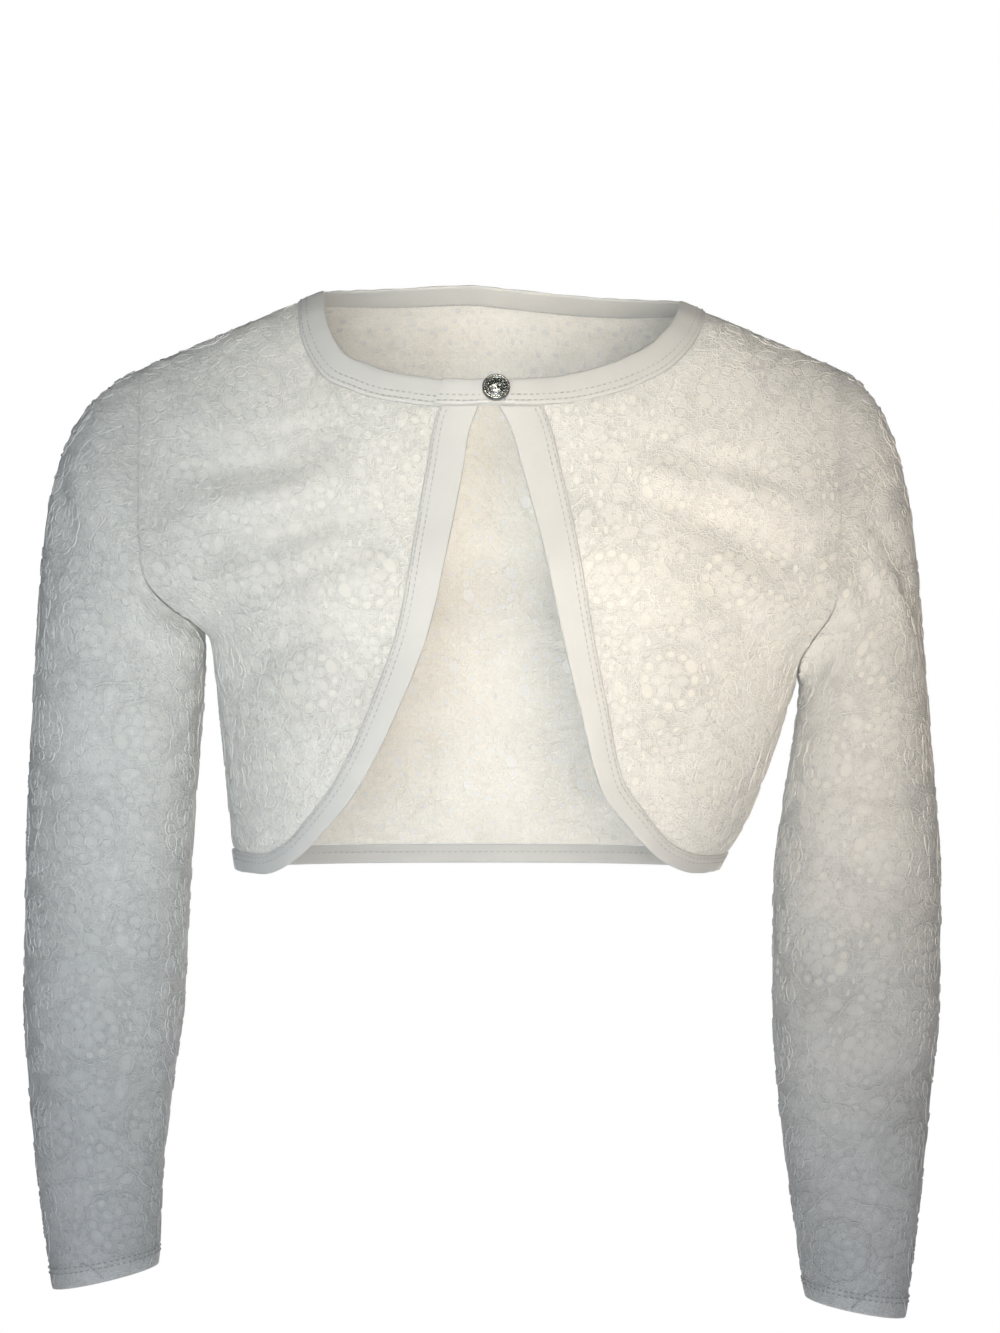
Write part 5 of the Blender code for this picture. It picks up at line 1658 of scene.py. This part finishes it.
def tube_object(name: str, points: Points, flat: Points, materials: list[Material]) -> Piece:
    """Make an object from rings of points, closed at both ends."""
    stations, ring = points.shape[:2]
    cloud = points.reshape(-1, 3)
    flats = flat.reshape(-1, 2)
    count = len(cloud)
    middle = np.array([points[0].mean(axis=0), points[-1].mean(axis=0)])
    faces = ring_faces(stations - 1, ring)
    last = (stations - 1) * ring
    for k in range(ring):
        ahead = (k + 1) % ring
        faces.append((count, ahead, k))
        faces.append((count + 1, last + k, last + ahead))
    cloud = np.concatenate((cloud, middle))
    flats = np.concatenate((flats, flats[:1], flats[-1:]))
    return mesh_object(name, cloud, outward_faces(cloud, faces), flats, materials, sharp=70.0)


def outward_faces(points: Points, faces: Faces) -> Faces:
    """Return the faces of a closed mesh, turned round if they point inwards."""
    corners = np.array([(face[0], face[k], face[k + 1]) for face in faces for k in range(1, len(face) - 1)])
    a, b, c = (points[corners[:, k]] for k in range(3))
    if float(np.sum(a * np.cross(b, c))) > 0.0:
        return faces
    return [face[::-1] for face in faces]


@dataclass
class Needle:
    """Sews rows of stitches along a strip or a piece."""

    dyer: Dyer
    stitch: float = 2.1
    pitch: float = 2.9
    radius: float = 0.3
    sunk: float = 0.25
    proud: float = 0.16
    margins: tuple[float, float] = (0.8, 0.4)

    def sew(self, name: str, lines: list[Points], normals: list[Points]) -> Piece:
        """Make the stitches along some lines of points.

        Args:
            name: The object's name.
            lines: Points along each row of stitches, in millimetres.
            normals: Outward normals at those points.

        Returns:
            All the stitches as one object.
        """
        points, faces, flats = [], [], []
        for line, normal in zip(lines, normals):
            along = lengths_along(line)
            for start in np.arange(self.margins[0], along[-1] - self.stitch - self.margins[1], self.pitch):
                self._stitch(line, normal, along, start, points, faces, flats)
        points = np.array(points)
        material = self.dyer.material(SEWING_THREAD)
        faces = outward_faces(points, faces)
        return mesh_object(name, points, faces, np.array(flats), [material], sharp=180.0)

    def _stitch(self, line: Points, normal: Points, along: Points, start: float,
                points: list, faces: list, flats: list) -> None:
        """Add one stitch, thick in the middle and sunk at both ends."""
        first = len(points)
        begin, end = read_rows(start, along, line), read_rows(start + self.stitch, along, line)
        up = unit(read_rows(start, along, normal))
        beside = unit(np.cross(up, end - begin))
        for share, height in ((0.0, -self.sunk), (0.28, self.proud), (0.72, self.proud), (1.0, -self.sunk)):
            centre = begin * (1 - share) + end * share + up * height
            flat = [self.radius, start + share * self.stitch]
            if height < 0.0:
                points.append(centre)
                flats.append(flat)
                continue
            for turn in np.arange(4) * math.pi / 2 + math.pi / 4:
                points.append(centre + (beside * math.cos(turn) + up * math.sin(turn)) * self.radius)
                flats.append([flat[0] * math.cos(turn), flat[1]])
        for k in range(4):
            ahead = (k + 1) % 4
            faces.append((first, first + 1 + k, first + 1 + ahead))
            faces.append((first + 1 + k, first + 5 + k, first + 5 + ahead, first + 1 + ahead))
            faces.append((first + 9, first + 5 + ahead, first + 5 + k))


def level(value: float) -> Chart:
    """Return a function that gives one value at every place."""
    def everywhere(places: Points) -> Points:
        """Return the value for each place."""
        return np.full(np.shape(places), value)
    return everywhere


@dataclass
class Trim:
    """The jersey bands and the neck binding, with their rows of stitches."""

    pattern: Pattern
    dyer: Dyer
    needle: Needle
    lap_end: float = -20.0
    underlap_end: float = 9.0
    lap_ease: float = 24.0
    lap_clearance: float = 0.3
    band_rows: tuple[float, float] = (1.5, 3.8)
    binding_rows: tuple[float, float] = (1.6, 4.2)
    button_along: float = field(default=0.0, init=False)

    def _seam_columns(self, side: int, facing: int, shares: Points) -> Points:
        """Return the columns of a side seam at shares of the way up the hem band."""
        point = self.pattern.side_point
        return np.array([point(side, facing, HEM_LEVEL, HEM_BAND_WIDTH * share)[0] for share in shares])

    def front_band(self, side: int, name: str) -> Strip:
        """Return the band down a front's free edge."""
        pattern = self.pattern
        edge = pattern.edges[side]
        distances = lengths_along(edge[:, :2])
        length = float(distances[-1])
        seam = pattern.side_point(side, -1, HEM_LEVEL)[0]

        def place(along: Points, share: Points) -> Points:
            """Return points by distance along the band and share of the way in."""
            return pattern.torso.place(pattern.edge_offset(side, along, share), -1)

        def width(along: Points) -> Points:
            """Return the band's width."""
            return np.interp(along, distances, edge[:, 2])

        def starts(share: Points) -> Points:
            """Return where the band comes out from under the neck binding."""
            tries = np.arange(0.0, 40.0, 0.2)
            neck = pattern.neck_line(np.linspace(-math.pi, 0.0, 1500), 0.0)
            tree = tree_of(neck)
            found = []
            for one in share:
                flat = pattern.edge_offset(side, tries, np.full(len(tries), one))
                w = flat[:, 1] - pattern.torso.crest_up(flat[:, 0], -1)
                away = [distance_in(tree, point) for point in np.stack((flat[:, 0], w), axis=1)]
                under = np.flatnonzero(np.array(away) < NECK_BINDING_WIDTH + SEAM_GAP)
                found.append(tries[under[-1] + 1] if len(under) else 0.0)
            return np.array(found)

        def ends(share: Points) -> Points:
            """Return where the band meets the side seam."""
            columns = self._seam_columns(side, -1, share)
            return np.minimum(length + side * (columns - seam) - SEAM_GAP, length)

        return Strip(name, place, level(BAND_RISE), starts, ends, width, (0.0, -1.0, 0.0), self.band_rows)

    def back_band(self, name: str) -> Strip:
        """Return the band along the back hem."""
        pattern = self.pattern
        columns = pattern.back_columns()
        ups = pattern.torso.up_at_height(columns, HEM_LEVEL, 1)

        def place(column: Points, share: Points) -> Points:
            """Return points by column and share of the way up the band."""
            up = np.interp(column, columns, ups) + HEM_BAND_WIDTH * share
            return pattern.torso.place(np.stack((column, up), axis=-1), 1)

        starts, ends = (partial(self._seam_columns, side, 1) for side in (-1, 1))
        return Strip(name, place, level(BAND_RISE), starts, ends, level(HEM_BAND_WIDTH), (0.0, 1.0, 0.0),
                     self.band_rows)

    @staticmethod
    def _past_front(distance: float) -> float:
        """Return how far the neckline turns past its front middle to reach a distance across."""
        return math.asin((distance / NECK_HALF_WIDTH) ** (NECK_SQUARENESS[-1] / 2))

    def neck_strip(self, name: str) -> Strip:
        """Return the neck binding, from its lapped end round the neck to its end under the lap."""
        pattern = self.pattern
        quarter = math.pi / 2
        turns = np.linspace(-quarter - self._past_front(NECK_CENTRE - self.lap_end),
                            3 * quarter + self._past_front(self.underlap_end - NECK_CENTRE), 1200)
        line = pattern.neck_line(turns, np.full(len(turns), NECK_BINDING_WIDTH / 2))
        points = pattern.torso.at(line[:, 0], line[:, 1])
        distances = lengths_along(points)
        early = distances < 60.0
        self.button_along = float(np.interp(Button.centre_x, points[early, 0], distances[early]))
        clear = float(np.interp(self.underlap_end, points[early, 0], distances[early])) + 2.0

        def place(along: Points, share: Points) -> Points:
            """Return points by distance along the binding and share of the way out."""
            turn = np.interp(along, distances, turns)
            out = pattern.neck_line(turn, NECK_BINDING_WIDTH * np.asarray(share))
            return pattern.torso.at(out[..., 0], out[..., 1])

        def lift(along: Points) -> Points:
            """Return the height over the cloth: the lap lies on the other end of the strip."""
            lapped = 1.0 - smoothstep(along, clear, clear + self.lap_ease)
            return BAND_RISE + (BAND_WALL + self.lap_clearance) * lapped

        return Strip(name, place, lift, level(0.0), level(float(distances[-1])), level(NECK_BINDING_WIDTH),
                     (0.0, -1.0, 0.0), self.binding_rows, stations=360)

    def make(self, strip: Strip, node: str) -> list[Piece]:
        """Make a strip and its stitches, in place of a CAD node."""
        band = strip.build(self.dyer.material(BAND_JERSEY))
        rows = [strip.row_line(row) for row in strip.stitch_rows]
        sewing = self.needle.sew("stitches_" + node, [row[0] for row in rows], [row[1] for row in rows])
        return [band, sewing]


def alone(active: Piece | None = None) -> None:
    """Deselect everything, and then select one piece if it is named."""
    bpy.ops.object.select_all(action="DESELECT")
    if active is not None:
        active.select_set(True)
        bpy.context.view_layer.objects.active = active


@dataclass
class Button:
    """Shank button: a turned metal face with a raised rim and small pits."""

    centre_x: float = 2.8
    centre_out: float = 5.5
    clearance: float = 0.4
    radius: float = 6.5
    shank_radius: float = 1.3
    disc_height: float = 1.5
    insets: tuple[tuple[float, float], ...] = ((0.25, 0.45), (0.35, 0.35), (0.45, 0.0), (0.3, -0.45),
                                               (0.35, -0.25), (0.5, 0.1), (0.9, 0.35), (1.4, 0.2))
    pit_rings: tuple[tuple[float, int, float, float], ...] = ((1.55, 2, 0.85, 0.35), (3.9, 8, 0.42, 0.75))
    beads: int = 8
    bead_radius: float = 0.62
    bead_reach: float = 3.75
    bead_turn: float = 0.75
    bead_height: float = 2.5
    drill_height: float = 3.2
    drill_length: float = 2.4

    def build(self, seat: Points, normal: Points, material: Material) -> Piece:
        """Make the button on its seat.

        Args:
            seat: The point of the binding under the button's middle, in millimetres.
            normal: The way the button faces.
            material: Its metal.

        Returns:
            The button as one object with its place in its mesh.
        """
        face = self._face()
        for reach, count, size, turn in self.pit_rings:
            self._pits(face, reach, count, size, turn)
        self._soften(face)
        others = [self._shank()] + self._beads()
        alone(face)
        for part in others:
            part.select_set(True)
        bpy.ops.object.join()
        face.name = face.data.name = "button_face"
        face.data.materials.clear()
        face.data.materials.append(material)
        turn = Vector(normal).to_track_quat("Z", "Y").to_matrix().to_4x4()
        place = Matrix.Translation(Vector(seat + normal * self.clearance) * METRES)
        face.data.transform(place @ turn @ Matrix.Scale(METRES, 4))
        return face

    def _face(self) -> Piece:
        """Model the disc: a rounded rim, a groove inside it and a low dome."""
        alone()
        bpy.ops.mesh.primitive_cylinder_add(vertices=64, radius=self.radius - 0.25, depth=self.disc_height,
                                            location=(0, 0, self.disc_height))
        face = bpy.context.object
        bpy.ops.object.transform_apply(location=True, rotation=True, scale=True)
        bpy.ops.object.mode_set(mode="EDIT")
        bpy.ops.mesh.select_all(action="DESELECT")
        bpy.ops.object.mode_set(mode="OBJECT")
        for polygon in face.data.polygons:
            polygon.select = polygon.normal.z > 0.9
        bpy.ops.object.mode_set(mode="EDIT")
        for thickness, rise in self.insets:
            bpy.ops.mesh.inset(thickness=thickness, use_boundary=True)
            bpy.ops.transform.translate(value=(0.0, 0.0, rise))
        bpy.ops.object.mode_set(mode="OBJECT")
        return face

    def _pits(self, face: Piece, reach: float, count: int, size: float, turn: float) -> None:
        """Cut a ring of small pits into the face."""
        for k in range(count):
            angle = turn + k * 2.0 * math.pi / count
            place = (reach * math.cos(angle), reach * math.sin(angle), self.drill_height)
            alone()
            bpy.ops.mesh.primitive_cylinder_add(vertices=12, radius=size, depth=self.drill_length,
                                                location=place)
            drill = bpy.context.object
            cut = face.modifiers.new("pit", "BOOLEAN")
            cut.operation = "DIFFERENCE"
            cut.object = drill
            alone(face)
            bpy.ops.object.modifier_apply(modifier="pit")
            bpy.data.objects.remove(drill, do_unlink=True)

    @staticmethod
    def _soften(face: Piece) -> None:
        """Round the sharp edges of the face a little."""
        alone(face)
        soft = face.modifiers.new("soft", "BEVEL")
        soft.width = 0.1
        soft.segments = 2
        soft.limit_method = "ANGLE"
        soft.angle_limit = math.radians(35.0)
        bpy.ops.object.modifier_apply(modifier="soft")
        bpy.ops.object.shade_smooth_by_angle(angle=math.radians(40.0))

    def _shank(self) -> Piece:
        """Model the shank that goes through the buttonhole."""
        sunk = 0.9
        reach = self.clearance + BAND_WALL + sunk
        alone()
        bpy.ops.mesh.primitive_cylinder_add(vertices=20, radius=self.shank_radius, depth=reach,
                                            location=(0.0, 0.0, sunk - reach / 2))
        shank = bpy.context.object
        bpy.ops.object.transform_apply(location=True, rotation=True, scale=True)
        bpy.ops.object.shade_smooth_by_angle(angle=math.radians(40.0))
        return shank

    def _beads(self) -> list[Piece]:
        """Model the ring of flat beads round the dome."""
        beads = []
        for k in range(self.beads):
            angle = (k + 0.5) * 2.0 * math.pi / self.beads + self.bead_turn
            place = (*polar(angle, self.bead_reach), self.bead_height)
            alone()
            bpy.ops.mesh.primitive_uv_sphere_add(segments=14, ring_count=8, radius=self.bead_radius,
                                                 location=place, scale=(1.0, 1.0, 0.6))
            bead = bpy.context.object
            bpy.ops.object.transform_apply(location=True, rotation=True, scale=True)
            bpy.ops.object.shade_smooth()
            beads.append(bead)
        return beads


class Lamp(NamedTuple):
    """A soft square lamp: its place and target in metres, side, power, colour and spread in degrees."""

    name: str
    place: Triple
    target: Triple
    size: float
    power: float
    colour: Triple
    spread: float


LAMPS = (
    Lamp("chest_left", (0.14, -0.78, -0.20), (0.092, -0.06, -0.125), 0.3, 0.27, (1.0, 0.80, 0.56), 36),
    Lamp("chest_right", (-0.12, -0.75, -0.25), (-0.09, -0.05, -0.14), 0.3, 0.33, (0.93, 1.0, 0.96), 60),
    Lamp("sleeve_left", (0.42, -0.90, -0.25), (0.19, 0.0, -0.25), 0.3, 0.09, (1.0, 0.80, 0.60), 50),
    Lamp("sleeve_right", (-0.42, -0.90, -0.25), (-0.19, 0.0, -0.25), 0.3, 0.06, (1.0, 0.90, 0.82), 50),
    Lamp("front", (0.0, -2.40, -0.20), (0.0, 0.0, -0.20), 1.2, 4.4, (0.66, 0.80, 1.0), 90),
    Lamp("neck", (0.0, -0.80, 0.45), (0.0, 0.07, 0.0), 0.2, 0.09, (1.0, 0.94, 0.80), 22),
    Lamp("side_left", (1.90, -0.60, -0.35), (0.1, 0.0, -0.2), 1.2, 1.0, (1.0, 0.94, 0.88), 180),
    Lamp("side_right", (-1.90, -0.60, -0.35), (-0.1, 0.0, -0.2), 1.2, 1.1, (0.96, 0.97, 1.0), 180),
    Lamp("back", (0.20, 2.20, -0.30), (0.0, 0.0, -0.20), 1.6, 26.0, (1.0, 0.97, 0.94), 180),
    Lamp("under", (0.0, -0.10, -1.05), (0.0, 0.05, -0.10), 0.8, 1.6, (1.0, 0.98, 0.95), 180),
)


@dataclass
class Studio:
    """Camera, lights, floor and surroundings."""

    camera_place: Triple = (0.0046, -2.1, -0.1686)
    view_height: float = 0.61318
    sensor_height: float = 24.0
    floor_level: float = -1.15
    floor_radius: float = 2.6
    surroundings: float = 0.08

    def build(self) -> None:
        """Set up the studio."""
        self._camera()
        self._floor()
        self._world()
        for lamp in LAMPS:
            self._lamp(lamp)

    def _camera(self) -> None:
        """Place the camera straight in front, at the photograph's distance."""
        data = bpy.data.cameras.new("front_camera")
        data.sensor_fit = "VERTICAL"
        data.sensor_height = self.sensor_height
        data.lens = self.sensor_height * -self.camera_place[1] / self.view_height
        camera = bpy.data.objects.new("front_camera", data)
        camera.location = self.camera_place
        camera.rotation_euler = (math.pi / 2, 0.0, 0.0)
        bpy.context.scene.collection.objects.link(camera)
        bpy.context.scene.camera = camera

    @staticmethod
    def _lamp(row: Lamp) -> None:
        """Add one lamp."""
        data = bpy.data.lights.new(row.name, "AREA")
        data.size = row.size
        data.energy = row.power
        data.color = row.colour
        data.spread = math.radians(row.spread)
        lamp = bpy.data.objects.new(row.name, data)
        lamp.location = row.place
        toward = Vector(row.target) - Vector(row.place)
        lamp.rotation_euler = toward.to_track_quat("-Z", "Y").to_euler()
        bpy.context.scene.collection.objects.link(lamp)

    def _floor(self) -> None:
        """Lay a pale round floor far under the garment."""
        alone()
        bpy.ops.mesh.primitive_circle_add(vertices=96, radius=self.floor_radius, fill_type="NGON",
                                          location=(0.0, 0.0, self.floor_level))
        floor = bpy.context.object
        floor.name = floor.data.name = "studio_floor"
        material = bpy.data.materials.new("pale_floor")
        material.use_nodes = True
        shader = material.node_tree.nodes["Principled BSDF"]
        shader.inputs["Base Color"].default_value = (0.86, 0.86, 0.86, 1.0)
        shader.inputs["Roughness"].default_value = 0.8
        floor.data.materials.append(material)

    def _world(self) -> None:
        """Make white surroundings that light the garment only softly."""
        world = bpy.data.worlds.new("white_studio")
        bpy.context.scene.world = world
        world.use_nodes = True
        nodes, links = world.node_tree.nodes, world.node_tree.links
        seen = nodes["Background"]
        seen.inputs["Color"].default_value = (1.0, 1.0, 1.0, 1.0)
        seen.inputs["Strength"].default_value = 1.0
        soft = nodes.new("ShaderNodeBackground")
        soft.inputs["Color"].default_value = (0.94, 0.97, 1.0, 1.0)
        soft.inputs["Strength"].default_value = self.surroundings
        path = nodes.new("ShaderNodeLightPath")
        mix = nodes.new("ShaderNodeMixShader")
        links.new(path.outputs["Is Camera Ray"], mix.inputs["Fac"])
        links.new(soft.outputs["Background"], mix.inputs[1])
        links.new(seen.outputs["Background"], mix.inputs[2])
        links.new(mix.outputs["Shader"], nodes["World Output"].inputs["Surface"])
        bpy.context.scene.view_settings.view_transform = "Standard"


@dataclass
class Bolero:
    """The whole garment."""

    pattern: Pattern
    dyer: Dyer
    body: str = "root"
    least_cut: float = 10.0
    cuff_rows: tuple[float, float] = (1.0, 3.2)
    cuff_rise: float = 0.5

    def _attach(self, pieces: list[Piece], node: str) -> None:
        """Hang pieces on the body, the first in place of its CAD node."""
        for piece in pieces:
            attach(piece, self.body)
            LOG.info("%s: %d faces", piece.name, len(piece.data.polygons))
        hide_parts(node)

    def _declare(self, cloth: Piece, outline: Points, rests_on: list[str]) -> None:
        """Say what flat piece a sheet was cut from."""
        size = (outline.max(axis=0) - outline.min(axis=0)) * METRES
        area = abs(turned_area(outline)) * METRES ** 2
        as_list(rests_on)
        LOG.info("%s: cut %.3f x %.3f m, %.4f square metres", cloth.name, size[0], size[1], area)

    def lace(self) -> None:
        """Make the fronts, the back and the sleeves."""
        pattern = self.pattern
        loom = Loom(pattern, self.dyer)
        pieces = [("back", pattern.back(), pattern.torso.chart(1), -1, None, ["band_neck"])]
        for side, name in ((-1, "right"), (1, "left")):
            chart = pattern.torso.chart(-1)
            pieces.append(("front_" + name, pattern.front(side), chart, 1, None, ["lace_back"]))
            sleeve = pattern.sleeves[side]
            plain = -sleeve.length + loom.cuff_hem
            for facing, half in ((-1, "front"), (1, "back")):
                outline = pattern.sleeve_half(side, facing)
                holder = "lace_back" if facing > 0 else "lace_front_" + name
                pieces.append((f"sleeve_{name}_{half}", outline, sleeve.place, -side, plain, [holder]))
        needle = Needle(self.dyer)
        for name, outline, place, outward, plain, holders in pieces:
            cloth, cords = loom.weave(name, outline, place, outward, plain)
            going = [cords]
            if plain is not None:
                going.append(self._cuff_stitches(needle, name, outline, place, outward, plain))
            self._attach([cloth] + going, name)
            self._declare(cloth, outline, holders)

    def _cuff_stitches(self, needle: Needle, name: str, outline: Points, place: Chart, outward: int,
                       plain: float) -> Piece:
        """Sew two rows of stitches along the top of a cuff's hem."""
        lines, normals = [], []
        reach = np.abs(outline[:, 0]).max() * np.sign(outline[:, 0].sum())
        for drop in self.cuff_rows:
            tries = np.stack((np.linspace(0.3, reach, 400), np.full(400, plain - drop)), axis=1)
            row = tries[inside(tries, outline)]
            normal = normals_at(place, row, outward)
            lines.append(place(row) + normal * self.cuff_rise)
            normals.append(normal)
        return needle.sew("stitches_" + name, lines, normals)

    def trim(self) -> None:
        """Make the bands, the neck binding and the button."""
        trim = Trim(self.pattern, self.dyer, Needle(self.dyer))
        strips = [(trim.front_band(-1, "band_right"), "band_front_right", "lace_front_right"),
                  (trim.front_band(1, "band_left"), "band_front_left", "lace_front_left"),
                  (trim.back_band("band_hem"), "band_back", "lace_back")]
        neck = trim.neck_strip("band_neck")
        strips.append((neck, "neck_binding", "lace_back"))
        for strip, node, holder in strips:
            pieces = trim.make(strip, node)
            self._attach(pieces, node)
            share = np.linspace(0.0, 1.0, 3)
            starts, ends = strip.starts(share), strip.ends(share)
            length = float(np.mean(ends - starts))
            width = float(np.mean(strip.width(strip.rows(share, 60))))
            cut = max(width, self.least_cut)
            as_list(pieces[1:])
            LOG.info("%s: cut %.1f x %.1f mm", strip.name, width, length)
        along = np.array([trim.button_along])
        share = np.array([Button.centre_out / NECK_BINDING_WIDTH])
        seat = neck.skin(along, share, np.zeros(1))[0]
        button = Button().build(seat, neck.normal(along, share)[0], self.dyer.material(BUTTON_METAL))
        self._attach([button], "button")


def main() -> None:
    """Load the frame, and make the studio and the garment."""
    logging.basicConfig(level=logging.INFO, format="%(name)s: %(message)s")
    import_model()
    Studio().build()
    bolero = Bolero(Pattern(), Dyer())
    bolero.lace()
    bolero.trim()


if __name__ == "__main__":
    main()
